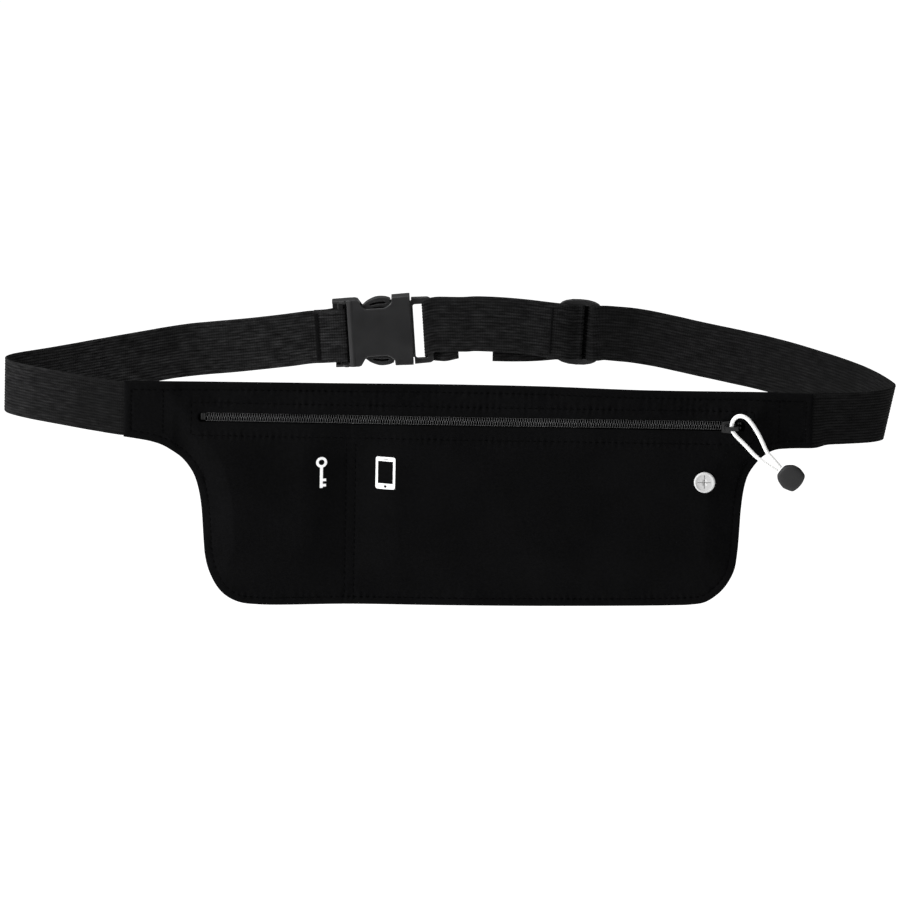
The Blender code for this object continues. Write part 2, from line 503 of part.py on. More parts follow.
# ---------------------------------------------------------------- slide adjuster: outer frame with curved cheeks and a middle bar
G = frame(GLIDE_O, GLIDE_SLOPE)
CHEEK = [(-10.1, 12.2), (-9.9, 13.3), (-9.0, 14.3), (-7.0, 15.3), (-3.8, 16.0), (0.0, 16.2), (3.8, 16.0), (7.0, 15.3), (9.0, 14.3), (9.9, 13.3), (10.1, 12.2)]
glide = prism("tri_glide", CHEEK + [(-s, -h) for s, h in CHEEK], -1.1, 1.1, BLACK_PLASTIC, G)
cut(glide, box("slot_a", -7.5, -1.1, -13.8, 13.8, -5, 5, None, G))
cut(glide, box("slot_b", 1.1, 7.5, -13.8, 13.8, -5, 5, None, G))
cut(glide, box("mid_in", -3.0, 3.0, -13.82, 13.82, -5, -0.9, None, G))
cut(glide, box("mid_out", -3.0, 3.0, -13.82, 13.82, 0.9, 5, None, G))
hang_on(glide, G(0, 0, 0))


# ---------------------------------------------------------------- webbing
def in_frame(place, pts, h=0.0):
    up = Vector(place(0, 1, 0)) - Vector(place(0, 0, 0))
    return [(*place(s, h, e), 0.0, *up) for s, e in pts]


def upright(stations):
    return [(*s, 0.0, 0.0, 1.0) for s in stations]


WING_Y = POUCH_Y - FABRIC_T / 2 - GAP - WEB_T / 2
LEFT_H = -0.9  # how the webbing sits across the buckle's frame
left_sweep = upright([(-137.6, WING_Y, 0, 0), (-148.0, WING_Y, 0, 0), (-156.6, WING_Y, 0, 0), (-163.0, WING_Y + 3.2, 0, 0), (-186.0, -45.0, 0, 0), (-205.0, -31.2, 0, 0),
              (-212.9, -22.4, 0, 0), (-214.0, -16.2, 0, 0), (-211.4, -10.8, 0, 0), (-190.0, 4.8, 0.3, 0), (-167.0, 22.4, 0.7, 0),
              (-146.0, 37.8, 1.1, 0), (-134.0, 45.8, 1.5, 0), (-124.0, 50.4, 1.9, 0), (-100.0, 54.6, 3.5, 0), (-78.0, 57.0, 5.8, 0)])
wrap_left = around(-14.55, 0, 1.35, 1.3, 0.75, ["right-in", "right-out"])
into_left = in_frame(B, [(-29.6, -1.3), (-23.5, -1.75), (-16.0, -2.05)] + wrap_left + [(-16.0, 2.05), (-18.8, 1.1), (-21.6, -0.2), (-27.4, -0.12)], LEFT_H)
strap = curve_through(left_sweep + [into_left[0]], 7.0)[:-1] + into_left
ribbon("strap_left", strap, BLACK_WEB)

wrap_male = around(27.65, 0, 1.35, 1.3, 0.75, ["left-out", "left-in"])
a_at = lambda s: -2.05 - 2.35 * (s - 27.2) / 62.0
RISE = [-2.1, -2.4, -2.7, -2.9, -2.7, -1.7, -1.3, -1.15, -1.15, -1.0, -0.6, 0.6, 1.7, 2.1, 2.0, 1.3]  # the folded end hangs below the strap in front of it
folded = [(41.1, a_at(41.1) + 1.3), (38.0, a_at(38.0) + 1.3), (34.8, a_at(34.8) + 1.4), (31.4, 1.75), (29.4, 2.1)]
near = [(27.6, -2.08), (29.0, -2.1), (31.5, -2.15), (34.0, a_at(34.0)), (45.0, a_at(45.0))]
link = [in_frame(B, [p], h)[0] for p, h in zip(folded + wrap_male + near, RISE)]
g_path = [(-15.0, -4.4), (-7.6, -4.35), (-5.9, -4.1), (-4.1, -3.35), (-2.4, -2.4), (-1.0, -1.75), (0.4, -1.65)]
wrap_mid = around(0.0, 0, 1.1, 0.9, 0.75, ["right-in", "right-out"])
back = [(-0.6, 1.65), (-1.6, 1.6), (-2.5, 0.95), (-3.3, -0.3), (-4.4, -1.9), (-5.8, -2.85), (-7.5, -3.1), (-14.6, -3.12)]
link += curve_through([link[-1]] + upright([(11.0, 55.9, 15.7, 0), (30.0, 55.2, 15.3, 0)]) + [in_frame(G, [(-15.0, -4.4)], 1.2)[0]], 7.0)[1:-1]
link += [in_frame(G, [p], h)[0] for p, h in zip(g_path, [1.2, 0.8, 0.5, 0.2, 0, 0, 0])] + in_frame(G, wrap_mid + back)
ribbon("strap_link", link, BLACK_WEB, width=WEB_WIDE, skewed=True)

tail = in_frame(G, [(-41.4, -1.95), (-30.0, -1.92), (-20.0, -1.9), (-8.0, -1.9), (-6.4, -1.55), (-5.2, -0.1), (-3.7, 1.9), (-1.9, 2.9), (0.0, 3.1), (1.7, 3.05), (3.1, 2.5), (4.3, 1.2),
                    (5.3, -0.3), (6.5, -1.7), (8.2, -2.0), (12.0, -1.95)])
TAIL_DROP = [3.4, 2.8, 1.8] + 11 * [0.0] + [-0.2, -0.8]  # the free tail hangs a little below the strap in front of it
tail = [(t[0], t[1], t[2] - drop, *t[3:]) for t, drop in zip(tail, TAIL_DROP)]
right_sweep = [tail[-1]] + upright([(86.0, 57.0, 11.2, 0), (96.0, 56.2, 10.0, 0), (106.0, 53.6, 8.7, 0), (118.0, 49.6, 7.1, 0), (138.0, 42.0, 4.9, 1), (150.0, 36.0, 3.8, 2), (166.0, 25.6, 2.3, 3),
               (177.0, 15.4, 1.4, 5), (188.2, 3.6, 0.6, 7.5), (198.6, -11.4, 0.1, 10.5), (204.8, -24.3, 0.0, 11.5), (209.3, -36.0, 0.0, 11.5), (210.8, -42.0, 0.0, 11.5), (209.8, -47.2, 0.0, 11.5),
               (205.6, -51.9, 0.0, 11.5), (199.0, -55.0, 0.0, 11.5), (190.0, -57.6, 0.0, 11), (181.6, -60.2, 0.2, 9), (174.8, WING_Y, 0, 0),
               (166.0, WING_Y, 0, 0), (157.0, WING_Y, 0, 0)])
ribbon("strap_right", tail[:-1] + curve_through(right_sweep, 6.0), BLACK_WEB, width=WEB_WIDE)


# ---------------------------------------------------------------- bar tacks: rows of thread across the webbing at each sewn fold
def tack(name, place, s, e, h=0.0, width=1.5, side=-1):
    box(name, s - width / 2, s + width / 2, h - 11.6, h + 11.6, min(e, e + side * 0.35), max(e, e + side * 0.35), THREAD, place)


tack("tack_housing_fold", B, -26.2, -1.57 - WEB_T / 2 - GAP - 0.05, LEFT_H)
tack("tack_buckle_fold", B, 39.4, a_at(39.4) + 1.3 + WEB_T / 2 + GAP + 0.1, -2.3, side=1)
tack("tack_glide_fold", G, -13.4, -4.42 - WEB_T / 2 - GAP, 0.0)
for name, x0 in (("tack_wing_left", -138.4), ("tack_wing_right", 157.2)):
    y = min(on_panel(x0 + u, z) for u in (0, 0.6, 1.2) for z in range(-11, 12)) - GAP
    prism(name, [(x0, -12.0), (x0 + 1.2, -12.0), (x0 + 1.2, 11.0), (x0, 11.0)], y - 0.35, y, THREAD)
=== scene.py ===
"""Looks of the money belt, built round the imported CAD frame.

Lengths are written in millimetres and turned into metres by MM. The row frame is the CAD's: +X along the pouch,
+Y from the pouch to the small of the back, +Z up. Routes and outlines repeat the CAD source's numbers, but for
millimetre changes where fabric lies a little differently from its solid.
"""

import math

import bmesh
import bpy
import numpy as np
from mathutils import Matrix, Vector, noise


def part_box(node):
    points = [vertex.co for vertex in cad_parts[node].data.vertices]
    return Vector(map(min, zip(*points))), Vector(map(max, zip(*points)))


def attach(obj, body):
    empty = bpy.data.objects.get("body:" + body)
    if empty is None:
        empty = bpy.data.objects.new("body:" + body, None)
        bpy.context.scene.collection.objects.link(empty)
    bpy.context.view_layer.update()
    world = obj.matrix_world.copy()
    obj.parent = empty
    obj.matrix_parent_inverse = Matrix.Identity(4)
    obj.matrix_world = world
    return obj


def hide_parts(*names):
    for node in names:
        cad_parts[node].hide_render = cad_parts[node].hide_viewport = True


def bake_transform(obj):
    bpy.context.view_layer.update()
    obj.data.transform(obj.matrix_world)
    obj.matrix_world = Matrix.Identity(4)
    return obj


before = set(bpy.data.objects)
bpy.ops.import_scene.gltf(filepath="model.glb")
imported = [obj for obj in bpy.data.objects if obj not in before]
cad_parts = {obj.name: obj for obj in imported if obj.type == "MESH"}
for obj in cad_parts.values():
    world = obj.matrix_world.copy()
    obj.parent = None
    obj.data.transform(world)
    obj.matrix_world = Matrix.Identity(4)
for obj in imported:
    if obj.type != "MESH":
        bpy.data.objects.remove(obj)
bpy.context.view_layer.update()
MM = 0.001
GAP = 0.3
RIBS, RIB, SELVEDGE = 17, 1.4, 2.4  # ribs across the webbing, their pitch, and both selvedges together


# ---- materials
class Look:
    """A Principled material with a few node helpers. Constant numbers sit on the shader's own sockets."""

    def __init__(self, name, rgb, rough, **sockets):
        self.mat = bpy.data.materials.new(name)
        self.mat.use_nodes = True
        self.tree = self.mat.node_tree
        self.shader = self.tree.nodes["Principled BSDF"]
        self.rgb = rgb
        self.shader.inputs["Base Color"].default_value = (*rgb, 1)
        self.shader.inputs["Roughness"].default_value = rough
        for key, value in sockets.items():
            self.shader.inputs[key.replace("_", " ")].default_value = value
        self.mat.diffuse_color = (*rgb, 1)

    def node(self, kind, settings=None, **inputs):
        n = self.tree.nodes.new(kind)
        for key, value in (settings or {}).items():
            setattr(n, key, value)
        for key, value in inputs.items():
            socket = n.inputs[int(key[1:])] if key[0] == "i" and key[1:].isdigit() else n.inputs[key.replace("_", " ")]
            if isinstance(value, bpy.types.NodeSocket):
                self.tree.links.new(value, socket)
            else:
                socket.default_value = value
        return n

    def where(self, uv=False):
        if uv:
            return self.node("ShaderNodeUVMap", {"uv_map": "weave"}).outputs["UV"]
        return self.node("ShaderNodeTexCoord").outputs["Object"]

    def noise(self, vector, size_mm, detail=3.0, squeeze=(1, 1, 1)):
        v = self.node("ShaderNodeMapping", {"vector_type": "POINT"}, Vector=vector, Scale=squeeze).outputs["Vector"]
        return self.node("ShaderNodeTexNoise", None, Vector=v, Scale=1000.0 / size_mm, Detail=detail).outputs["Fac"]

    def bands(self, vector, axis, period_mm, distortion=0.0):
        s = {"wave_type": "BANDS", "bands_direction": axis, "wave_profile": "SIN"}
        return self.node("ShaderNodeTexWave", s, Vector=vector, Scale=314.159 / period_mm, Distortion=distortion,
                         Detail=1.0, Detail_Scale=1.2).outputs["Fac"]

    def math(self, op, a, b=0.0, c=0.0):
        return self.node("ShaderNodeMath", {"operation": op}, i0=a, i1=b, i2=c).outputs[0]

    def span(self, value, lo, hi, a, b):
        n = self.node("ShaderNodeMapRange", None, Value=value, From_Min=lo, From_Max=hi, To_Min=a, To_Max=b)
        return n.outputs[0]

    def tint(self, factor):
        """Base colour times a factor that varies over the surface."""
        n = self.node("ShaderNodeMix", {"data_type": "RGBA", "blend_type": "MULTIPLY"}, i0=1.0)
        n.inputs[6].default_value = (*self.rgb, 1)
        self.tree.links.new(factor, n.inputs[7])
        self.tree.links.new(n.outputs[2], self.shader.inputs["Base Color"])

    def rough(self, value):
        self.tree.links.new(value, self.shader.inputs["Roughness"])

    def bump(self, height, depth_mm):
        n = self.node("ShaderNodeBump", None, Strength=1.0, Distance=depth_mm * MM, Height=height)
        self.tree.links.new(n.outputs["Normal"], self.shader.inputs["Normal"])


def knit(name, rgb, wale=0.55, course=0.7):
    k = Look(name, rgb, 0.93, Specular_IOR_Level=0.03)
    at = k.where()
    loops = k.math("MULTIPLY", k.bands(at, "X", wale), k.bands(at, "Z", course, 0.6))
    cloud = k.noise(at, 26, 4)
    lint = k.noise(at, 1.3, 2)
    k.tint(k.math("ADD", k.span(cloud, 0.3, 0.7, 0.72, 1.1), k.span(lint, 0.35, 0.7, -0.12, 0.3)))
    k.rough(k.span(lint, 0.3, 0.7, 0.88, 0.98))
    k.bump(k.math("ADD", loops, k.math("MULTIPLY", lint, 0.8)), 0.07)
    return k.mat


def webbing_look(name, rgb, painted_light_and_shade=()):
    """Rubber-cored webbing: UV runs along it in metres, and across it in ribs of RIB millimetres.

    Its last argument darkens and lightens its tone along it, painted shade and painted light, as (from, to, factor
    before, factor after)."""
    k = Look(name, rgb, 0.85, Specular_IOR_Level=0.08)
    at = k.where(uv=True)
    across = k.node("ShaderNodeSeparateXYZ", None, Vector=at).outputs["Y"]
    # the grooves between the ribs are painted darker and their crests lighter: painted shade and painted highlight on
    # the ribs
    rib = k.math("COSINE", k.math("MULTIPLY", across, 2 * math.pi / (RIB * MM)))
    selvedge = [(RIBS / 2 + d) * RIB * MM for d in (-0.15, 0.15)]
    beyond = k.span(k.math("ABSOLUTE", across), *selvedge, 0.0, 1.0)
    ribs = k.math("ADD", k.math("MULTIPLY", k.span(rib, -1, 1, 0.55, 1.28), k.math("SUBTRACT", 1.0, beyond)),
                  k.math("MULTIPLY", beyond, 1.25))
    picks = k.bands(at, "X", 1.15, 0.5)
    streak = k.noise(at, 2.0, 3, (0.35, 1.6, 1))
    lint = k.noise(k.where(), 0.9, 2)
    mottle = k.noise(at, 9, 4, (1, 1.5, 1))
    run = k.node("ShaderNodeSeparateXYZ", None, Vector=at).outputs["X"]
    # painted shade and painted light along the strap, darker where less light falls and lighter where more falls
    for start, stop, before, after in painted_light_and_shade:
        ribs = k.math("MULTIPLY", ribs, k.span(run, start, stop, before, after))
    yarns = k.math("ADD", k.span(streak, 0.34, 0.66, 0.42, 1.5), k.span(picks, 0, 1, -0.16, 0.16))
    dust = k.math("ADD", k.span(lint, 0.3, 0.7, 0.8, 1.2), k.span(mottle, 0.32, 0.68, -0.28, 0.28))
    k.tint(k.math("MULTIPLY", k.math("MULTIPLY", ribs, yarns), dust))
    k.rough(k.span(lint, 0.3, 0.7, 0.78, 0.95))
    k.bump(k.math("ADD", k.math("MULTIPLY", picks, 0.7), lint), 0.09)
    return k.mat


def moulded(name, rgb, rough, grain=0.35, depth=0.012, wear=0.5, **sockets):
    k = Look(name, rgb, rough, **sockets)
    at = k.where()
    fine = k.noise(at, grain, 3)
    cloud = k.noise(at, 9, 3)
    edge = k.span(k.node("ShaderNodeNewGeometry").outputs["Pointiness"], 0.5, 0.56, 0.0, wear)
    k.tint(k.math("ADD", k.span(cloud, 0.3, 0.7, 0.92, 1.08), edge))
    k.rough(k.math("ADD", k.span(cloud, 0.3, 0.7, rough - 0.05, rough + 0.06), k.span(fine, 0.3, 0.7, -0.03, 0.03)))
    k.bump(fine, depth)
    return k.mat


def thread_look(name, rgb, rough=0.7, spec=0.25):
    k = Look(name, rgb, rough, Specular_IOR_Level=spec)
    at = k.where()
    ply = k.noise(at, 0.35, 2)
    k.tint(k.span(ply, 0.3, 0.7, 0.8, 1.2))
    k.bump(ply, 0.05)
    return k.mat


KNIT = knit("stretch_knit", (0.0024, 0.0024, 0.0026))
KNIT_BACK = knit("stretch_knit_back", (0.0028, 0.0028, 0.003), 0.6, 0.8)
TAPE = knit("zip_tape_twill", (0.0011, 0.0011, 0.0012), 0.5, 0.5)
WEB = webbing_look("elastic_webbing", (0.0088, 0.0088, 0.009))
# The left strap's webbing is painted darker on its first stretch from the pouch and lighter from the fold on: painted
# shade and painted light.
WEB_LEFT_PAINTED_SHADING = webbing_look("elastic_webbing_left_painted_shading", (0.0088, 0.0088, 0.009),
                        [(0.040, 0.085, 0.36, 0.95), (0.100, 0.150, 1.0, 1.6)])
# The right strap's webbing is painted darker all over and darker still from its side towards the fold: painted shade.
WEB_RIGHT_PAINTED_SHADE = webbing_look("elastic_webbing_right_painted_shade", (0.0048, 0.0048, 0.0049), [(0.130, 0.190, 1.0, 0.6)])
ACETAL = moulded("satin_acetal", (0.0150, 0.0150, 0.0155), 0.42, Specular_IOR_Level=0.32)
COIL = moulded("nylon_coil", (0.056, 0.056, 0.057), 0.33, 0.3, 0.008, 0.3, Specular_IOR_Level=0.5)
ENAMEL = moulded("enamelled_zinc", (0.0028, 0.0028, 0.003), 0.42, 0.5, 0.006, 0.5, Specular_IOR_Level=0.3,
                 Coat_Weight=0.05, Coat_Roughness=0.25)
RUBBER = moulded("tip_rubber", (0.0113, 0.0113, 0.0117), 0.62, 0.3, 0.02, 0.25, Specular_IOR_Level=0.3)
EYELET = moulded("eyelet_rubber", (0.47, 0.47, 0.47), 0.5, 0.3, 0.012, 0.2)
INK = moulded("screen_print", (0.86, 0.86, 0.86), 0.6, 0.3, 0.02, 0.0)
TACK = thread_look("tack_thread", (0.0052, 0.0052, 0.0054), 0.85, 0.06)
THREAD = thread_look("black_thread", (0.0009, 0.0009, 0.001), 0.85, 0.03)
BRAID = thread_look("white_braid", (0.87, 0.87, 0.86), 0.75, 0.3)


# ---- helpers
def new_object(name, verts, faces):
    mesh = bpy.data.meshes.new(name)
    mesh.from_pydata(verts, [], faces)
    obj = bpy.data.objects.new(name, mesh)
    bpy.context.scene.collection.objects.link(obj)
    return obj


def piece(name, verts, faces, look, body, stands_for=(), uv=None):
    """One mesh given in millimetres, riding on a body."""
    obj = new_object(name, (np.asarray(verts, float) * MM).tolist(), [list(f) for f in faces])
    if uv is not None:
        layer = obj.data.uv_layers.new(name="weave")
        corner = np.empty(len(obj.data.loops), np.int32)
        obj.data.loops.foreach_get("vertex_index", corner)
        layer.data.foreach_set("uv", (np.asarray(uv, float) * MM)[corner].ravel())
    return finish_piece(obj, look, body, stands_for)


def finish_piece(obj, look, body, stands_for=(), smooth=True):
    """Look, body and CAD nodes of a piece; "let out" is for the short strap, which gives when the insert comes out, and
    leaves it on no body with its placement baked in.
    """
    obj.data.materials.clear()
    obj.data.materials.append(look)
    if smooth:
        obj.data.polygons.foreach_set("use_smooth", [True] * len(obj.data.polygons))
    obj.data.update()
    if body == "let out":
        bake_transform(obj)
    else:
        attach(obj, body)
    if stands_for:
        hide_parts(*stands_for)
    return obj


def settle(obj):
    """Applies an object's modifiers."""
    graph = bpy.context.evaluated_depsgraph_get()
    mesh = bpy.data.meshes.new_from_object(obj.evaluated_get(graph))
    obj.modifiers.clear()
    obj.data = mesh
    return obj


def outward(mesh):
    """Turns the faces of a closed mesh outwards."""
    b = bmesh.new()
    b.from_mesh(mesh)
    bmesh.ops.recalc_face_normals(b, faces=b.faces)
    b.to_mesh(mesh)
    b.free()


def smooth01(t):
    t = np.clip(t, 0.0, 1.0)
    return t * t * (3 - 2 * t)


def curve_through(points, step, dims=3):
    """Centripetal Catmull-Rom through the points, about every step millimetres; further columns are carried along."""
    p = np.array(points, float)
    p = np.vstack([2 * p[0] - p[1], p, 2 * p[-1] - p[-2]])
    out = []
    for i in range(1, len(p) - 2):
        a, b, c, d = p[i - 1:i + 3]
        t = np.cumsum([0] + [max(np.linalg.norm(v[:dims]), 1e-6) ** 0.5 for v in (b - a, c - b, d - c)])
        n = max(1, round(np.linalg.norm((c - b)[:dims]) / step))
        for u in np.linspace(t[1], t[2], n, endpoint=False):
            q1 = (t[1] - u) / (t[1] - t[0]) * a + (u - t[0]) / (t[1] - t[0]) * b
            q2 = (t[2] - u) / (t[2] - t[1]) * b + (u - t[1]) / (t[2] - t[1]) * c
            q3 = (t[3] - u) / (t[3] - t[2]) * c + (u - t[2]) / (t[3] - t[2]) * d
            r1 = (t[2] - u) / (t[2] - t[0]) * q1 + (u - t[0]) / (t[2] - t[0]) * q2
            r2 = (t[3] - u) / (t[3] - t[1]) * q2 + (u - t[1]) / (t[3] - t[1]) * q3
            out.append((t[2] - u) / (t[2] - t[1]) * r1 + (u - t[1]) / (t[2] - t[1]) * r2)
    out.append(p[-2])
    return np.array(out)


def between(rings, k, first=0):
    """Faces that join rings of k points each, numbered on from first."""
    return [[first + i * k + j, first + i * k + (j + 1) % k, first + (i + 1) * k + (j + 1) % k, first + (i + 1) * k + j]
            for i in range(rings - 1) for j in range(k)]


def capped(start, rings, stop):
    """Verts and faces of rings closed by a point at each end."""
    k = len(rings[0])
    last = 1 + len(rings) * k
    verts = [start] + [v for ring in rings for v in ring] + [stop]
    faces = [[0, 1 + (j + 1) % k, 1 + j] for j in range(k)] + between(len(rings), k, 1)
    return verts, faces + [[last, last - k + j, last - k + (j + 1) % k] for j in range(k)]


def tube(path, radius, sides=8, relief=None):
    """Verts and faces of a tube along a path; radius is a number or one per point, relief(i, angle) is added to it."""
    p = np.asarray(path, float)
    n = len(p)
    radius = np.full(n, radius) if np.isscalar(radius) else np.asarray(radius)
    t = np.gradient(p, axis=0)
    t /= np.linalg.norm(t, axis=1)[:, None]
    side = np.cross(t[0], [0.13, 0.71, 0.69])
    side /= np.linalg.norm(side)
    angles = np.linspace(0, 2 * math.pi, sides, endpoint=False)
    verts = []
    for i in range(n):
        side = side - t[i] * side.dot(t[i])
        side /= np.linalg.norm(side)
        other = np.cross(t[i], side)
        r = radius[i] + (relief(i, angles) if relief else 0.0) * np.ones(sides)
        verts.append(p[i] + (np.outer(np.cos(angles) * r, side) + np.outer(np.sin(angles) * r, other)))
    ring = np.arange(sides)
    return np.concatenate(verts), between(n, sides) + [ring[::-1].tolist(), (ring + (n - 1) * sides).tolist()]


class Heap:
    """Many small closed meshes gathered into one piece."""

    def __init__(self):
        self.verts, self.faces, self.count = [], [], 0

    def add(self, verts, faces):
        self.verts.append(np.asarray(verts))
        self.faces += [[i + self.count for i in f] for f in faces]
        self.count += len(verts)

    def out(self):
        return np.concatenate(self.verts), self.faces


def along(path, spacing):
    """Points at even spacing along a polyline, with the arc length of each."""
    p = np.asarray(path, float)
    s = np.concatenate([[0], np.cumsum(np.linalg.norm(np.diff(p, axis=0), axis=1))])
    n = max(2, int(round(s[-1] / spacing)) + 1)
    at = np.linspace(0, s[-1], n)
    return np.stack([np.interp(at, s, p[:, k]) for k in range(p.shape[1])], 1), at


def stitches(heap, path, normal, length=2.3, gap=0.75, r=0.17, proud=0.13):
    """A row of lock stitches along a path that lies on the cloth; normal points out of the cloth."""
    p, s = along(path, 0.05 if len(path) < 4 else 0.2)
    total = s[-1]
    pitch = total / max(1, round(total / (length + gap)))
    nrm = np.asarray(normal, float)
    for k in range(int(round(total / pitch))):
        a = k * pitch + gap / 2
        u = np.linspace(a, a + pitch - gap, 6)
        mid = np.stack([np.interp(u, s, p[:, c]) for c in range(3)], 1)
        lift = np.array([-0.16, 0.04, proud, proud, 0.04, -0.16])
        n = nrm if nrm.ndim == 1 else nrm[min(len(nrm) - 1, int(u[2] / total * len(nrm)))]
        heap.add(*tube(mid + lift[:, None] * n, r * np.array([0.55, 0.95, 1, 1, 0.95, 0.55]), 6))


# ---- pouch: outline and surface
POUCH_Y, FABRIC_T, POCKET_DEPTH, SEAM_X = -62.0, 1.0, 5.2, -46.8
BACK_FRONT = POUCH_Y - FABRIC_T / 2  # the back panel's face towards the pocket
WEB_W, WEB_WIDE, WEB_T = 26.0, 26.6, 0.9
ZIP_Z, ZIP_X0, ZIP_X1, SLIT_H, SLIDER_X = -2.4, -121.5, 134.6, 4.4, 136.0
LOWER_EDGE = [(-156.5, -13.6), (-149.6, -14.6), (-143.8, -15.6), (-138.0, -17.4), (-132.7, -20.4), (-127.8, -24.4),
              (-124.4, -28.6), (-122.0, -33.0), (-120.0, -39.6), (-118.6, -48.0), (-117.4, -63.0), (-116.6, -71.6),
              (-114.6, -79.4), (-110.6, -87.2), (-106.4, -91.6), (-100.0, -94.8), (-90.0, -95.9), (-46.0, -94.8),
              (0.0, -94.7), (48.0, -94.2), (108.0, -92.8), (117.0, -92.3), (124.0, -91.0), (130.1, -86.9),
              (134.2, -82.2), (137.8, -74.9), (139.1, -66.9), (139.8, -57.0), (140.6, -43.1), (142.2, -32.0),
              (144.4, -25.9), (150.0, -18.4), (155.8, -14.8), (162.0, -13.9), (174.0, -13.5)]
UPPER_EDGE = [(-156.5, 13.6), (-120.0, 13.9), (-60.0, 14.2), (0.0, 14.6), (46.0, 14.4), (92.0, 13.4), (150.0, 13.5),
              (174.0, 13.4)]
lower = curve_through(LOWER_EDGE, 1.2, 2)
upper = curve_through(UPPER_EDGE, 4.0, 2)
rim = np.vstack([lower, upper[::-1]])


def low_at(x):
    return np.interp(x, lower[:, 0], lower[:, 1])


def high_at(x):
    return np.interp(x, upper[:, 0], upper[:, 1])


def wing(x):
    return np.maximum(smooth01((-128.0 - x) / 6.0), smooth01((x - 142.0) / 8.0))


def fullness(x, z):
    """How far the front panel stands off the back panel."""
    lo, hi = low_at(x), high_at(x)
    rise = smooth01((z - lo - 3.0) / 26.0) * smooth01((hi - z - 2.0) / 13.0)
    ends = smooth01((x + 139.0) / 13.0) * smooth01((158.0 - x) / 15.0)
    pinch = (1 - smooth01(np.abs(x - SEAM_X) / 24.0)) * (1 - smooth01((z + 23.0) / 14.0))
    depth = np.where(x > SEAM_X, POCKET_DEPTH, POCKET_DEPTH - 0.4)
    return GAP + np.maximum(depth * rise * ends * (1 - pinch), 0.0) + (WEB_T + GAP) * wing(x)


def to_rim(x, z):
    """Distance of points to the outline of the pouch."""
    p = np.stack([np.ravel(x), np.ravel(z)], 1).astype(float)
    a, b = rim, np.roll(rim, -1, axis=0)
    ab = b - a
    best = np.full(len(p), 1e9)
    for i in range(0, len(p), 4000):
        q = p[i:i + 4000, None, :] - a[None]
        t = np.clip((q * ab).sum(2) / np.maximum((ab * ab).sum(1), 1e-9), 0, 1)
        best[i:i + 4000] = np.sqrt(((q - t[..., None] * ab) ** 2).sum(2)).min(1)
    return best.reshape(np.shape(x))


def wobble(x, z, size, seed):
    x, z = np.broadcast_arrays(np.asarray(x, float), np.asarray(z, float))
    sx, sz = (size, size) if np.isscalar(size) else size
    return np.array([noise.noise((a / sx, b / sz, seed)) for a, b in zip(x.ravel(), z.ravel())]).reshape(x.shape)


PANEL_T = 0.8
HEM = 3.7  # from the edge to its row of stitches
PUCKER = 0.2  # how far the cloth rises between stitches
ROW_ABOVE, ROW_BELOW = 6.8, 8.9  # from the middle of the zip to the rows beside it
ROW_X0, ROW_X1 = -124.2, 146.0  # where those rows end
STITCH = 3.1  # from one stitch to the next
DIVIDER = (-49.4, -45.0)  # the two rows between the key pocket and the main pocket
SLIT_X0, SLIT_X1 = ZIP_X0 + 0.7, ZIP_X1 + 7.2


def dent(d, width=0.55):
    return np.exp(-(d / width) ** 2)


def front_y(x, z):
    """The front panel's outer face, with the dents of its seams, the puckers beside them and soft folds."""
    x, z = np.broadcast_arrays(np.asarray(x, float), np.asarray(z, float))
    d, w = to_rim(x, z), wing(x)
    cap = GAP + POCKET_DEPTH * smooth01((d - 1.0) / 17.0) + (WEB_T + GAP) * w  # it rises evenly from every edge
    y = BACK_FRONT - np.minimum(fullness(x, z), cap) - FABRIC_T
    seam = BACK_FRONT - GAP / 2 - 0.1 - 1.3 * w
    y = seam - (seam - y) * np.sqrt(1 - (1 - np.clip(d / 1.2, 0.02, 1)) ** 2)
    inside = smooth01((d - 1.2) / 3.0)
    y += 0.22 * dent(d - HEM) - 0.12 * dent(d - 2.2, 1.0)
    zip_reach = smooth01((x - ROW_X0 + 2.0) / 3.0) * smooth01((ROW_X1 + 2.0 - x) / 3.0)
    row = np.minimum(np.abs(z - ZIP_Z - ROW_ABOVE), np.abs(z - ZIP_Z + ROW_BELOW))
    y += zip_reach * (0.22 * dent(row) - 0.12 * dent(np.abs(z - ZIP_Z) - 4.2, 1.0))
    div_reach = smooth01((-13.0 - z) / 3.0)
    for at in DIVIDER:
        y += div_reach * (0.24 * dent(x - at, 0.6) + 0.1 * dent(x - at, 1.7) * np.cos(2 * np.pi * z / STITCH))
    near_seam = np.exp(-((d - HEM) / 4.5) ** 2) + 0.8 * zip_reach * np.exp(-(row / 4.0) ** 2)
    drawn = wobble(x, z, (9.0, 9.0), 23.7)  # how far each stitch draws the cloth in
    ripple = (0.75 + 1.2 * drawn) * np.cos(2 * np.pi * (x + 0.5 * drawn) / STITCH)
    down = (0.75 + 1.2 * drawn) * np.cos(2 * np.pi * (z + 0.5 * drawn) / STITCH)
    along_hem = np.where(np.abs(x - 8.0) < 112, ripple, down)
    y += inside * PUCKER * (zip_reach * dent(row, 1.9) * ripple + dent(d - HEM, 1.9) * along_hem)
    near_seam += div_reach * 0.9 * np.exp(-((x + 47.2) / 5.0) ** 2)
    y += inside * near_seam * 0.34 * wobble(x, z, (3.4, 3.4), 3.1)
    y += inside * 0.55 * wobble(x + 0.5 * z, z, (46, 20), 7.7) * (1 - 0.6 * w)
    y += inside * 0.22 * wobble(x, z, (15, 9), 11.3)
    slant = wobble(0.8 * x + 0.6 * z, 0.8 * z - 0.6 * x, (5.5, 26), 19.1)  # creases that run down from the wings
    y += inside * 0.5 * slant * (smooth01((-104.0 - x) / 14.0) + smooth01((x - 118.0) / 14.0)) * (1 - 0.7 * w)
    return y


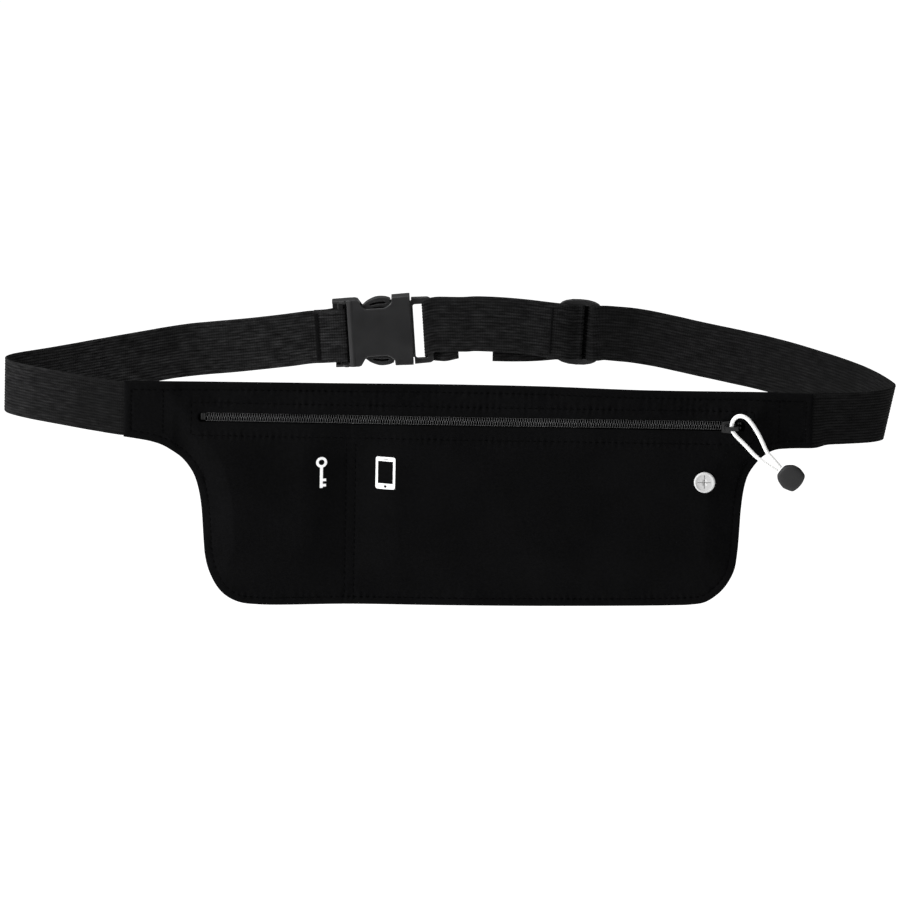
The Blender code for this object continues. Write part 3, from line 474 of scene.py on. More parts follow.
def back_y(x, z):
    """The back panel's outer face, next to the wearer: flat but for its hem and small puckers."""
    x, z = np.broadcast_arrays(np.asarray(x, float), np.asarray(z, float))
    d = to_rim(x, z)
    seam = BACK_FRONT - GAP / 2 + 0.1
    y = np.full(x.shape, POUCH_Y + FABRIC_T / 2)
    y = seam + (y - seam) * np.sqrt(1 - (1 - np.clip(d / 1.0, 0.02, 1)) ** 2)
    inside = smooth01((d - 1.0) / 3.0)
    y -= 0.28 * dent(d - HEM)
    y -= inside * (0.2 + 0.22 * wobble(x + 0.4 * z, z, (40, 18), 2.2))
    y -= inside * np.exp(-((d - HEM) / 4.5) ** 2) * (0.08 + 0.16 * wobble(x, z, 3.4, 5.5))
    return y


def columns(most=0.9, least=0.4):
    """Where the columns of a panel stand: on the outline's points, no closer than least and no further than most."""
    xs = [lower[0, 0]]
    for x in lower[1:, 0]:
        gap = x - xs[-1]
        if gap < least:
            continue
        n = max(1, math.ceil(gap / most))
        xs += [xs[-1] + gap * (k + 1) / n for k in range(n)]
    xs[-1] = lower[-1, 0]
    return np.array(xs)


EDGE_STEPS = np.array([0.02, 0.15, 0.35, 0.65, 1.05, 1.6, 2.2, 2.7, 3.2, 3.7, 4.2, 4.8, 5.6])


def column_rows(lo, hi, n):
    """Heights in one column, closer together by the edge."""
    near = EDGE_STEPS * min(1.0, (hi - lo) / 13.5)
    return np.concatenate([lo + near, np.linspace(lo + near[-1], hi, n)[1:]])


def slit_half(x):
    """Half the height of the zip's slit, with rounded ends."""
    u = np.clip(np.minimum(x - SLIT_X0, SLIT_X1 - x) / 2.0, 0, 1)
    return 0.12 + (SLIT_H / 2 - 0.12) * np.sqrt(1 - (1 - u) ** 2)


def panel(name, y_of, slit, look, nodes, toward):
    """A panel of cloth with its outer face at y_of; toward is -1 for the front."""
    xs = columns()
    cols, rows_low, rows_top = [], 74, 18  # rows below and above the slit
    for x in xs:
        lo, hi = low_at(x), high_at(x)
        h = slit_half(x)
        bottom = column_rows(lo, ZIP_Z - h, rows_low)
        top = hi - column_rows(0, hi - ZIP_Z - h, rows_top)
        cols.append(np.concatenate([bottom, top[::-1]]))
    z = np.array(cols)
    x = np.repeat(xs[:, None], z.shape[1], 1)
    y = y_of(x, z)
    if slit:  # the cloth is turned under along the slit
        inside = (x > SLIT_X0) & (x < SLIT_X1)
        t = np.abs(z - ZIP_Z) - slit_half(x)
        turn = 1 - np.sqrt(np.clip(1 - (1 - np.clip(t / 0.9, 0, 1)) ** 2, 0, 1))
        y = y + np.where(inside, 0.55 * turn, 0.0)
    nc, nr = z.shape
    verts = np.stack([x, y, z], 2).reshape(-1, 3)
    k = len(EDGE_STEPS) + rows_low - 2  # the last row under the slit
    faces = []
    for c in range(nc - 1):
        open_here = slit and SLIT_X0 < (xs[c] + xs[c + 1]) / 2 < SLIT_X1
        for r in range(nr - 1):
            if r == k and open_here:
                continue
            a = c * nr + r
            faces.append([a, a + nr, a + nr + 1, a + 1] if toward < 0 else [a, a + 1, a + nr + 1, a + nr])
    obj = new_object(name, (verts * MM).tolist(), faces)
    m = obj.modifiers.new("thickness", "SOLIDIFY")
    m.thickness, m.offset, m.use_even_offset = PANEL_T * MM, -1.0, True
    return finish_piece(settle(obj), look, "belt", nodes)


front = panel("cloth_front", front_y, True, KNIT, ["pouch_front_panel"], -1)
back = panel("cloth_back", back_y, False, KNIT_BACK, ["pouch_back_panel"], 1)

# ---- rows of stitches on the pouch
def inset(path, by):
    """A polyline moved to its left by a distance, without the points that come too near the outline."""
    t = np.gradient(path, axis=0)
    t /= np.linalg.norm(t, axis=1)[:, None]
    moved = path + by * np.stack([-t[:, 1], t[:, 0]], 1)
    return moved[to_rim(moved[:, 0], moved[:, 1]) > by - 0.08]


def on_cloth(xz, y_of):
    return np.stack([xz[:, 0], y_of(xz[:, 0], xz[:, 1]), xz[:, 1]], 1)


HEM_ROWS = [row[(row[:, 0] > -153) & (row[:, 0] < 170.5)] for row in (
    inset(curve_through(LOWER_EDGE, 0.5, 2), HEM), inset(curve_through(UPPER_EDGE, 1.0, 2)[::-1], HEM)[::-1])]


def straight(x0, z0, x1, z1, n=60):
    return np.stack([np.linspace(x0, x1, n), np.linspace(z0, z1, n)], 1)


fronts, out = Heap(), np.array([0.0, -1.0, 0.0])
row_z0, row_z1 = ZIP_Z - ROW_BELOW, ZIP_Z + ROW_ABOVE
for row in HEM_ROWS + [straight(ROW_X0, row_z1, ROW_X1, row_z1, 260), straight(ROW_X0, row_z0, ROW_X1, row_z0, 260),
                       straight(ROW_X0, row_z0, ROW_X0, row_z1, 12), straight(ROW_X1, row_z0, ROW_X1, row_z1, 12)]:
    stitches(fronts, on_cloth(row, front_y), out)
piece("stitches_front", *fronts.out(), THREAD, "belt")
for x, node in zip(DIVIDER, ("pocket_seam_row_left", "pocket_seam_row_right")):
    h = Heap()
    stitches(h, on_cloth(straight(x, -14.0, x, -92.6, 160), front_y), out)
    piece("stitches_" + node, *h.out(), THREAD, "belt", [node])
backs = Heap()
for row in HEM_ROWS:
    stitches(backs, on_cloth(row, back_y), -out)
piece("stitches_back", *backs.out(), THREAD, "belt")
for x, end, node in ((-137.8, -153.2, "tack_wing_left"), (157.8, 170.7, "tack_wing_right")):
    h = Heap()
    for y_of, normal in ((front_y, out), (back_y, -out)):
        stitches(h, on_cloth(straight(x, -11.6, x, 10.6), y_of), normal, 1.9, 0.55)
        stitches(h, on_cloth(straight(end, -10.6, end, 10.2), y_of), normal, 1.9, 0.55)
    piece("stitches_" + node, *h.out(), THREAD, "belt", [node])


# ---- zip
def zip_plane(x):
    """y of the front of the zip's tapes."""
    x = np.asarray(x, float)
    beside = (-7.2, -4.5, -2.3, 2.3, 4.5, 7.2)
    return np.max([BACK_FRONT - fullness(x, ZIP_Z + v) for v in beside], axis=0) + GAP


for side, node in ((1, "zip_tape_upper"), (-1, "zip_tape_lower")):
    xs = np.linspace(ZIP_X0 - 4, ZIP_X1 + 9, 180)
    prof = [(0.0, 1.0), (-0.12, 1.35), (-0.06, 1.8), (0, 2.6), (0.02, 4.0), (0.0, 6.2), (-0.05, 6.8), (0.2, 7.0),
            (0.45, 6.8), (0.45, 4), (0.45, 1.8), (0.42, 1.1)]
    verts, faces, n = [], [], len(prof)
    for i, x in enumerate(xs):
        base = float(zip_plane(x))
        verts += [(x, base + e + 0.02 * math.sin(i * 1.7), ZIP_Z + side * z) for e, z in prof]
    faces += [f[::side] for f in between(len(xs), n)]
    faces += [list(range(n))[::-side], list(range((len(xs) - 1) * n, len(xs) * n))[::side]]
    piece("tape_" + node[9:], verts, faces, TAPE, "belt", [node])

PITCH = 1.15  # from tooth to tooth
for side, node in ((1, "zip_coil_upper"), (-1, "zip_coil_lower")):
    x0, x1 = ZIP_X0 + 4.2, SLIDER_X - 5.2
    turns = int((x1 - x0) / PITCH)
    t = np.arange(turns * 12 + 1) / 12.0
    x = x0 + PITCH * (np.floor(t) + smooth01((t % 1 - 0.35) / 0.3) + (0.5 if side > 0 else 0.0))
    ca, sa = np.cos(2 * math.pi * t), np.sin(2 * math.pi * t)
    flat = np.sign(ca) * np.abs(ca) ** 0.7
    z = ZIP_Z + side * (1.16 - 0.98 * flat)
    y = zip_plane(x) - 0.75 + 0.5 * np.sign(sa) * np.abs(sa) ** 0.8
    r = 0.15 + 0.19 * np.clip(ca, 0, 1) ** 5 + 0.13 * np.clip(-ca, 0, 1) ** 5  # each tooth's head is pressed wider
    h = Heap()
    h.add(*tube(np.stack([x, y, z], 1), r, 7))
    for u in x[9::24]:  # the row that sews the coil to its tape
        at = float(zip_plane(u))
        loop = [(u - 1.0, at - 0.9, 1.85), (u, at - 1.3, 1.88), (u + 1.0, at - 0.9, 1.85)]
        h.add(*tube([(a, b, ZIP_Z + side * c) for a, b, c in loop], 0.1, 5))
    piece("coil_" + node[9:], *h.out(), COIL, "belt", [node])


# ---- moulded and cast pieces
# They are made in their own frame, in millimetres: s along the belt, e away from the wearer, h up.
def block(outline, e0, e1, chamfer=0.0, axis="e"):
    """A closed prism of an outline of (s, h) pairs between e0 and e1, its edges chamfered."""
    o = np.array(outline, float)
    n = len(o)
    mid = (o.max(0) + o.min(0)) / 2
    half = np.maximum((o.max(0) - o.min(0)) / 2, 1e-6)
    small = mid + (o - mid) * (1 - chamfer / half)
    levels = [(small, e0), (o, e0 + chamfer), (o, e1 - chamfer), (small, e1)] if chamfer else [(o, e0), (o, e1)]
    verts = []
    for ring, e in levels:
        verts += [(s, e, h) for s, h in ring] if axis == "e" else [(s, h, e) for s, h in ring]
    faces = [list(range(n)), list(range(len(verts) - 1, len(verts) - n - 1, -1))] + between(len(levels), n)
    obj = new_object("block", verts, faces)
    outward(obj.data)
    return obj


def moved(points, x, z):
    return [(x + a, z + b) for a, b in points]


def rounded(s0, s1, h0, h1, r, n=6):
    pts = []
    for cx, cy, a in ((s1 - r, h0 + r, -90), (s1 - r, h1 - r, 0), (s0 + r, h1 - r, 90), (s0 + r, h0 + r, 180)):
        for i in range(n + 1):
            t = math.radians(a + 90 * i / n)
            pts.append((cx + r * math.cos(t), cy + r * math.sin(t)))
    return pts


def rect(s0, s1, h0, h1):
    return [(s0, h0), (s1, h0), (s1, h1), (s0, h1)]


def boolean(obj, other, operation):
    m = obj.modifiers.new("b", "BOOLEAN")
    m.operation, m.object, m.solver = operation, other, "EXACT"
    settle(obj)
    bpy.data.objects.remove(other)


def carve(name, obj, adds, cuts):
    for other in adds:
        boolean(obj, other, "UNION")
    for other in cuts:
        boolean(obj, other, "DIFFERENCE")
    obj.name = name


def mould(name, obj, adds, cuts, voxel, soften, matrix, look, body, nodes, shape=None):
    """Solids joined and cut, their edges softened by a fine remesh, then placed."""
    carve(name, obj, adds, cuts)
    m = obj.modifiers.new("skin", "REMESH")
    m.mode, m.voxel_size, m.use_smooth_shade = "VOXEL", voxel, True
    m = obj.modifiers.new("soften", "SMOOTH")
    m.factor, m.iterations = 0.5, soften
    settle(obj)
    obj.data.name = name
    if shape:
        co = np.empty(len(obj.data.vertices) * 3, np.float32)
        obj.data.vertices.foreach_get("co", co)
        co = shape(co.reshape(-1, 3).astype(float))
        obj.data.vertices.foreach_set("co", co.astype(np.float32).ravel())
    obj.data.transform(matrix)
    return finish_piece(obj, look, body, nodes)


def frame_of(origin, degrees):
    """Where (s, h, e) lies in the row frame, in millimetres, and the matrix that places a solid there, in metres."""
    x, y, z = origin
    slope = math.radians(degrees)
    c, q = math.cos(slope), math.sin(slope)
    matrix = Matrix.Scale(MM, 4) @ Matrix(((c, 0, -q, x), (0, 1, 0, y), (q, 0, c, z), (0, 0, 0, 1)))
    return lambda s, h, e: (x + s * c - h * q, y + e, z + s * q + h * c), matrix


B, BM = frame_of((-38.4, 59.0, 10.4), 4.5)  # the buckle
G, GM = frame_of((61.4, 59.0, 11.8), -2.9)  # the slide adjuster

# --- buckle housing: side arms and bar on the left, a sleeve with two finger windows on the right
ARM = [(-18.4, -16.4), (-7.2, -16.6), (-6.0, -16.2), (-5.3, -15.2), (-3.9, -12.9), (-2.4, -11.9), (6.6, -11.9),
       (8.6, -12.9), (10.2, -14.4), (10.4, -17.0), (19.2, -17.2)]
HOUSE = ARM + [(s, -h) for s, h in reversed(ARM)]
# the plate next to the wearer is bevelled towards the slot that the strap goes into
wedge = block([(-12.2, -4.1), (-8.9, -4.1), (-12.2, -3.0)], -17.9, 17.9, axis="h")
rooms = [(-8.6, 25.0, 14.6, -2.5, 2.5), (-20.0, -15.9, 15.2, -9, 2.9), (-13.2, -10.8, 14.25, -2.9, 2.9),
         (-19.5, -12.1, 15.25, 1.3, 2.88), (-19.6, -11.6, 15.3, -9, -1.3), (-20.5, -14.2, 20, -9, -2.8)]


def bowed(p):
    """The sleeve's faces, drawn in towards its edges."""
    return np.stack([p[:, 0], p[:, 1] * np.where(p[:, 0] > -9, 1 - 0.05 * (p[:, 2] / 16) ** 2, 1), p[:, 2]], 1)


mould("housing", block(HOUSE, -3.8, 3.8), [], [block(rect(s0, s1, -h, h), e0, e1) for s0, s1, h, e0, e1 in rooms] + [wedge],
      0.3, 2, BM, ACETAL, "belt", ["buckle_housing"], bowed)

# --- buckle insert: base, guide tongue and the frame that holds the webbing
INSERT = [(16.8, -13.9), (19.8, -13.9), (19.8, -17.4), (27.6, -17.1), (29.0, -16.2), (29.0, 14.8), (27.6, 15.5),
          (19.8, 15.7), (19.8, 13.9), (16.8, 13.9)]
GUIDE = [(17.9, -2.2), (17.9, 2.2), (-5.6, 1.5), (-6.4, 0.9), (-6.4, -0.9), (-5.6, -1.5)]
mould("insert", block(INSERT, -1.3, 1.3, 0.25), [block(rect(17.1, 19.5, -13.5, 13.5), -2.0, 2.0), block(GUIDE, -1.6, 1.6)],
      [block(rounded(20.4, 26.3, -14.6, 12.3, 1.0), -5, 5)], 0.22, 3, BM, ACETAL, "insert", ["buckle_male"])
PRONG = [(16.5, 10.3), (16.5, 12.7), (10.2, 13.6), (9.7, 15.8), (7.6, 16.6), (5.8, 16.85), (4.2, 16.9), (2.6, 16.75),
         (1.0, 16.2), (-0.6, 15.5), (-2.0, 14.7), (-4.2, 12.8), (-5.3, 11.3), (-4.4, 10.5), (-2.4, 11.2), (1.0, 12.0),
         (4.6, 12.3), (8.4, 11.7), (12.0, 10.9)]
# a blind groove in the face of each prong that is next to the wearer
GROOVE = [(-0.4, 13.75), (1.2, 14.4), (4.0, 14.9), (6.6, 14.85), (7.7, 14.3), (7.6, 13.8), (6.2, 13.7), (3.6, 13.7),
          (1.2, 13.25), (-0.2, 13.2)]
for side, node in ((1, "buckle_prong_upper"), (-1, "buckle_prong_lower")):
    prong, groove = ([(s, side * h) for s, h in outline] for outline in (PRONG, GROOVE))
    mould("prong_" + node[13:], block(prong, -2.1, 2.1), [], [block(groove, -4, 1.2)], 0.17, 3, BM, ACETAL, node[7:], [node])

# --- slide adjuster: rounded frame with bowed cheeks and a flatter middle bar
CHEEK = [(-10.1, 12.2), (-9.9, 13.3), (-9.0, 14.3), (-7.0, 15.3), (-3.8, 16.0), (0.0, 16.2), (3.8, 16.0), (7.0, 15.3),
         (9.0, 14.3), (9.9, 13.3), (10.1, 12.2)]
mould("slide", block(CHEEK + [(-s, -h) for s, h in CHEEK], -1.1, 1.1), [],
      [block(rounded(-7.5, -1.1, -13.4, 13.4, 0.6), -5, 5), block(rounded(1.1, 7.5, -13.1, 13.4, 0.6), -5, 5),
       block(rect(-3.0, 3.0, -13.5, 13.5), -5, -0.9), block(rect(-3.0, 3.0, -13.5, 13.5), 0.9, 5)],
      0.2, 4, GM, ACETAL, "adjuster", ["tri_glide"])

# --- zip slider
lo_s, hi_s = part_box("zip_slider")
sp = lo_s.y / MM + 6.3  # the plane that the bridge, 6.3 high, and the cord's route are set from
sb = hi_s.y / MM - 0.9
SM = Matrix.Scale(MM, 4)
body = block(moved([(-5.6, -2.3), (-4.9, -2.6), (-1.6, -3.0), (0.6, -2.3), (1.4, 0), (0.6, 2.3), (-1.6, 3.0), (-4.9, 2.6),
                    (-5.6, 2.3)], SLIDER_X, ZIP_Z), sp - 2.9, sb + 0.9)
bridge = block(moved([(-4.6, -2.6), (-4.2, -5.4), (-3.4, -6.3), (0.6, -6.3), (2.3, -5.7), (2.7, -4.6), (2.3, -3.9),
                      (1.7, -4.4), (0.8, -5.4), (-2.6, -5.4), (-3.1, -4.6), (-3.3, -2.6)], SLIDER_X, sp),
               ZIP_Z - 1.0, ZIP_Z + 1.0, axis="h")
channels = [block(moved([(-2.3, k * 0.7), (2.0, k * 0.3), (2.0, k * 4.2), (-2.3, k * 4.2)], SLIDER_X, ZIP_Z),
                  sp - 1.83, sb - 0.02) for k in (1, -1)]
mouth = block(moved(rect(-7.0, -2.2, -5, 5), SLIDER_X, ZIP_Z), sp - 1.85, sb)
mould("slider", body, [bridge], [mouth] + channels, 0.12, 3, SM, ENAMEL, "slider", ["zip_slider"])

for node in ("zip_stop_left", "zip_stop_right_upper", "zip_stop_right_lower"):
    lo, hi = (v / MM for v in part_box(node))
    if node == "zip_stop_left":  # it is pressed over the first teeth, just inside the slit
        lo.x, hi.x = lo.x + 2.1, hi.x + 2.6
    c = (lo + hi) / 2
    stop = block(rounded(lo.x, hi.x, lo.z, hi.z, 0.3, 3), lo.y, hi.y + 0.2, 0.2)
    crimp = block(rect(c.x - 0.12, c.x + 0.12, lo.z - 1, hi.z + 1), lo.y - 1, lo.y + 0.25)
    mould("stop_" + node[9:], stop, [], [crimp], 0.09, 2, SM, ENAMEL, "belt", [node])

# ---- pull: braided cord and moulded tip
CORD_D = 1.9
tlo, thi = (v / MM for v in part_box("pull_tip"))
TIP_Y = (tlo.y + thi.y) / 2
route = [(158.9, TIP_Y, -21.2), (155.9, TIP_Y + 0.05, -17.6), (152.6, TIP_Y + 0.1, -13.9), (148.6, sp - 5.0, -5.9), (144.9, sp - 4.6, -0.1),
         (141.9, sp - 4.2, 2.9), (138.8, sp - 4.0, 3.6), (136.2, sp - 4.05, 2.0), (SLIDER_X - 0.8, sp - 4.15, ZIP_Z),
         (136.3, sp - 4.05, -4.9), (138.4, sp - 4.0, -7.3), (141.6, sp - 4.3, -10.4), (147.4, sp - 4.9, -16.2),
         (153.6, TIP_Y + 0.1, -20.6), (157.4, TIP_Y, -23.0)]
line, at = along(curve_through(route, 0.6), 0.16)


def braid(i, a):
    """Sixteen carriers crossing over and under."""
    s = at[i] * 2 * math.pi / 2.6
    one, two = np.sin(4 * a + s * 2), np.sin(4 * a - s * 2)
    return 0.05 * np.maximum(one, two) - 0.02


verts, faces = tube(line, CORD_D / 2, 28, braid)
cord = piece("braided_cord", verts, faces, BRAID, "pull", ["pull_cord"])
TIP = [(157.2, -24.9), (159.4, -21.8), (161.2, -19.9), (165.4, -19.7), (168.6, -21.5), (171.1, -25.0), (169.6, -28.7),
       (167.5, -31.2), (165.0, -33.0), (160.2, -31.1), (157.8, -27.6)]
TIP_HALF = 2.1  # half its thickness
cx, cz = np.array(TIP).mean(0)
soft = along(TIP + TIP[:1], 0.5)[0][:-1]
for _ in range(5):
    soft = (np.roll(soft, 1, 0) + 2 * soft + np.roll(soft, -1, 0)) / 4
# its rings: how much of the outline, and how far from its middle plane
steps = [(0.35, -TIP_HALF), (0.62, -2.02), (0.8, -1.86), (0.9, -1.6), (0.965, -1.2), (0.99, -0.75), (0.97, -0.3)]
steps = steps + [(0.985, 0.0)] + [(f, -e) for f, e in reversed(steps)]
rings = [[(cx + (x - cx) * f, TIP_Y + e, cz + (z - cz) * f) for x, z in soft] for f, e in steps]
verts, faces = capped((cx, TIP_Y - TIP_HALF, cz), rings, (cx, TIP_Y + TIP_HALF, cz))
tip = piece("pull_tip_moulding", verts, faces, RUBBER, "pull", ["pull_tip"])

# ---- eyelet
EX, EZ = 122.7, -30.0
elo, ehi = (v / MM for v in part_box("eyelet_front"))
face_y = elo.y


def turned(r, y, n):
    """A ring of n points about the eyelet's axis."""
    return [(EX + r * math.cos(t), y, EZ + r * math.sin(t)) for t in np.linspace(0, 2 * math.pi, n, endpoint=False)]


FACE = [(2.0, 0.4), (3.6, 0.3), (4.0, 0.18), (4.25, 0.02), (4.5, 0), (4.8, 0.12), (5.02, 0.4), (5.1, 0.8), (5.0, 1.25),
        (3.0, 1.3)]
rings = [turned(r, face_y + y, 64) for r, y in FACE] + [turned(3.0, ehi.y, 64)]
eyelet = new_object("eyelet", *capped((EX, face_y + 0.42, EZ), rings, (EX, ehi.y, EZ)))
outward(eyelet.data)
carve("eyelet", eyelet, [], [block(moved(rect(-0.17, 0.17, -3.1, 3.6), EX, EZ), face_y - 1, face_y + 1.0),
                             block(moved(rect(-3.2, 3.2, -0.12, 0.12), EX, EZ), face_y - 1, face_y + 0.98)])
eyelet.data.transform(SM)
finish_piece(eyelet, EYELET, "belt", ["eyelet_front"])
eyelet.modifiers.new("edges", "WEIGHTED_NORMAL")
settle(eyelet)
wlo, whi = (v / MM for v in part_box("eyelet_back"))
prof = [(3.3, wlo.y), (4.4, wlo.y), (4.6, wlo.y + 0.2), (4.6, whi.y - 0.2), (4.35, whi.y), (3.5, whi.y), (3.3, whi.y - 0.15)]
n, p = 48, len(prof)
verts = [v for r, y in prof for v in turned(r, y, n)]
faces = [[i * n + j, ((i + 1) % p) * n + j, ((i + 1) % p) * n + (j + 1) % n, i * n + (j + 1) % n] for i in range(p) for j in range(n)]
piece("eyelet_washer", verts, faces, EYELET, "belt", ["eyelet_back"])


# ---- prints
def circle(x, z, r, n=40):
    return [(x + r * math.cos(2 * math.pi * i / n), z + r * math.sin(2 * math.pi * i / n)) for i in range(n)]


def printed(name, base, adds, cuts, node):
    """A thin layer of ink that follows the cloth."""
    carve(name, base, adds, cuts)
    b = bmesh.new()
    b.from_mesh(base.data)
    lo = [min(v.co[i] for v in b.verts) for i in (0, 2)]
    hi = [max(v.co[i] for v in b.verts) for i in (0, 2)]
    for i, axis in enumerate(((1, 0, 0), (0, 0, 1))):
        for v in np.arange(lo[i] + 0.5, hi[i], 0.8):
            bmesh.ops.bisect_plane(b, geom=b.verts[:] + b.edges[:] + b.faces[:], plane_co=[c * v for c in axis],
                                   plane_no=axis)
    co = np.array([v.co for v in b.verts])
    for v, cloth in zip(b.verts, front_y(co[:, 0], co[:, 2])):
        v.co.y = cloth - (0.14 if v.co.y < 0.5 else 0.0)
    b.to_mesh(base.data)
    b.free()
    base.data.transform(SM)
    return finish_piece(base, INK, "belt", [node], smooth=False)


KX, KZ = -61.2, -24.0  # the middle of the key's bow
stem, *teeth = [moved(rect(*box), KX, KZ) for box in ((-0.72, 0.72, -12.6, -1.9), (0, 2.3, -12.0, -10.7), (0, 2.3, -9.4, -8.1))]
printed("ink_key", block(circle(KX, KZ, 2.65), 0, 1), [block(stem, -0.01, 1.01)] + [block(t, -0.02, 1.02) for t in teeth],
        [block(circle(KX, KZ, 1.35), -1, 2)], "print_key")
PX, PZ = -30.5, -28.5  # the middle of the telephone
openings = [rect(PX - 3.6, PX + 3.6, PZ - 5.2, PZ + 5.8), rounded(PX - 1.2, PX + 1.2, PZ + 6.65, PZ + 7.05, 0.19, 3),
            circle(PX, PZ - 6.6, 0.65, 20)]
printed("ink_phone", block(rounded(PX - 4.7, PX + 4.7, PZ - 7.9, PZ + 7.9, 1.1), 0, 1), [],
        [block(outline, -1, 2) for outline in openings], "print_phone")


# ---- webbing
def around(cx, ce, a, b, r, corners):
    """A strap's (s, e) points round a bar: the bar's middle, half sizes and corner radius, and the corners in turn."""
    sign = {"right-in": (1, -1), "right-out": (1, 1), "left-in": (-1, -1), "left-out": (-1, 1)}
    pts = []
    for i, (u, v) in enumerate(sign[c] for c in corners):
        for t in (90, 45, 0) if i == 0 else (0, 45, 90):
            q = math.radians(t)
            pts.append((cx + u * (a + r * math.cos(q)), ce + v * (b + r * math.sin(q))))
    return pts


def in_frame(place, pts, h=0.0):
    """Stations of a strap at (s, e) points of a place, at one height."""
    up = Vector(place(0, 1, 0)) - Vector(place(0, 0, 0))
    return [(*place(s, h, e), 0.0, *up) for s, e in pts]


def upright(stations):
    return [(*s, 0.0, 0.0, 1.0) for s in stations]


def cross_section(width, samples=6):
    """Half of the outline of the webbing: (across, proud) pairs from one selvedge to the other, with its ribs."""
    body_w = width - SELVEDGE
    pts = [(d - width / 2, p) for d, p in ((0, 0.05), (0.12, 0.34), (0.45, 0.5), (0.85, 0.47), (1.1, 0.3))]
    for i in range(RIBS):
        for j in range(samples):
            u = j / samples
            pts.append((-body_w / 2 + body_w * (i + u) / RIBS, 0.28 + 0.24 * math.sin(math.pi * u) ** 0.8))
    pts += [(-w, p) for w, p in reversed(pts[:5])]
    return pts


def web(name, stations, node, seed, width=WEB_WIDE, skewed=False, look=WEB, fuller=0.3, body="belt"):
    """Ribbed elastic webbing through stations of (x, y, z, outward lean, the vector that its width stays closest to)."""
    s = curve_through(stations, 1.3)
    p = s[:, :3]
    arc = np.concatenate([[0], np.cumsum(np.linalg.norm(np.diff(p, axis=0), axis=1))])
    t = np.gradient(p, axis=0)
    t /= np.linalg.norm(t, axis=1)[:, None]
    want = s[:, 4:7]
    up = want if skewed else want - t * (t * want).sum(1)[:, None]
    up /= np.linalg.norm(up, axis=1)[:, None]
    n = np.cross(t, up)
    n /= np.linalg.norm(n, axis=1)[:, None]
    lean = np.radians(s[:, 3])[:, None]
    up = up * np.cos(lean) - n * np.sin(lean)
    n = np.cross(t, up)
    n /= np.linalg.norm(n, axis=1)[:, None]
    half = cross_section(width + fuller)
    wave = np.array([noise.noise((a / 19.0, seed, 0.3)) for a in arc])
    edge = np.array([noise.noise((a / 9.0, seed, 4.3)) for a in arc])
    verts, uv = [], []
    full = [(w, -q, 0) for w, q in half] + [(w, q, 1) for w, q in half[::-1]]
    k = len(full)
    w = np.array([f[0] for f in full])
    q = np.array([f[1] for f in full])
    for i in range(len(p)):
        ww = w * (1 + 0.004 * edge[i])
        slub = 1 + 0.10 * np.sin(arc[i] * 2 * math.pi / 2.3 + w * 2.1)
        bow = 0.12 * wave[i] * (1 - (2 * w / width) ** 2)
        verts.append(p[i] + np.outer(q * slub + bow, n[i]) + np.outer(ww, up[i]))
        uv.append(np.stack([np.full(k, arc[i]), w * RIBS * RIB / (width + fuller - SELVEDGE)], 1))
    verts, uv = np.concatenate(verts), np.concatenate(uv)
    ring = np.arange(k)
    faces = []
    for i in range(len(p) - 1):
        a, b = i * k + ring, i * k + (ring + 1) % k
        faces += np.stack([a, a + k, b + k, b], 1).tolist()
    h = len(half)
    for base, order in ((0, 1), ((len(p) - 1) * k, -1)):  # the heat-cut ends
        faces += [[base + j, base + j + 1, base + k - 2 - j, base + k - 1 - j][::order] for j in range(h - 1)]
    outward(piece(name, verts, faces, look, body, [node], uv).data)


WING_Y = BACK_FRONT - GAP - WEB_T / 2
LEFT_H = -0.9  # the left strap runs this much below the buckle's middle
left_sweep = upright([(-137.6, WING_Y, 0, 0), (-148.0, WING_Y, 0, 0), (-156.6, WING_Y, 0, 0), (-163.0, WING_Y + 3.2, 0, 0),
                      (-186.0, -45.0, 0, 0), (-205.0, -31.2, 0, 0), (-212.9, -22.4, 0, 0), (-214.0, -16.2, 0, 0),
                      (-211.4, -10.8, 0, 0), (-190.0, 4.8, 0.3, 0), (-167.0, 22.4, 0.7, 0), (-146.0, 37.8, 1.1, 0),
                      (-134.0, 45.8, 1.5, 0), (-124.0, 50.4, 1.9, 0), (-100.0, 54.6, 3.5, 0), (-78.0, 57.0, 5.8, 0)])
wrap_left = around(-14.55, 0, 1.35, 1.3, 0.75, ["right-in", "right-out"])
into_left = in_frame(B, [(-29.6, -1.3), (-23.5, -1.75), (-16.0, -2.05)] + wrap_left +
                     [(-16.0, 2.05), (-18.8, 1.1), (-21.6, -0.2), (-27.4, -0.12)], LEFT_H)
strap = curve_through(left_sweep + [into_left[0]], 7.0)[:-1].tolist() + into_left
web("webbing_left", strap, "strap_left", 1.0, width=WEB_W, look=WEB_LEFT_PAINTED_SHADING)

wrap_male = around(27.3, 0, 1.35, 1.3, 0.75, ["left-out", "left-in"])
# heights along it: the folded end hangs below the strap in front of it
RISE = [-2.1, -2.7, -3.2, -3.5, -3.3, -2.3, -1.6, -1.0, 0.0, 0.5, 0.9, 1.4, 1.7, 2.0, 2.0, 1.3]


def a_at(s):
    """How far in front of the buckle's middle plane the short strap runs, as it eases towards the slide."""
    return -2.05 - 2.35 * (s - 27.2) / 62.0


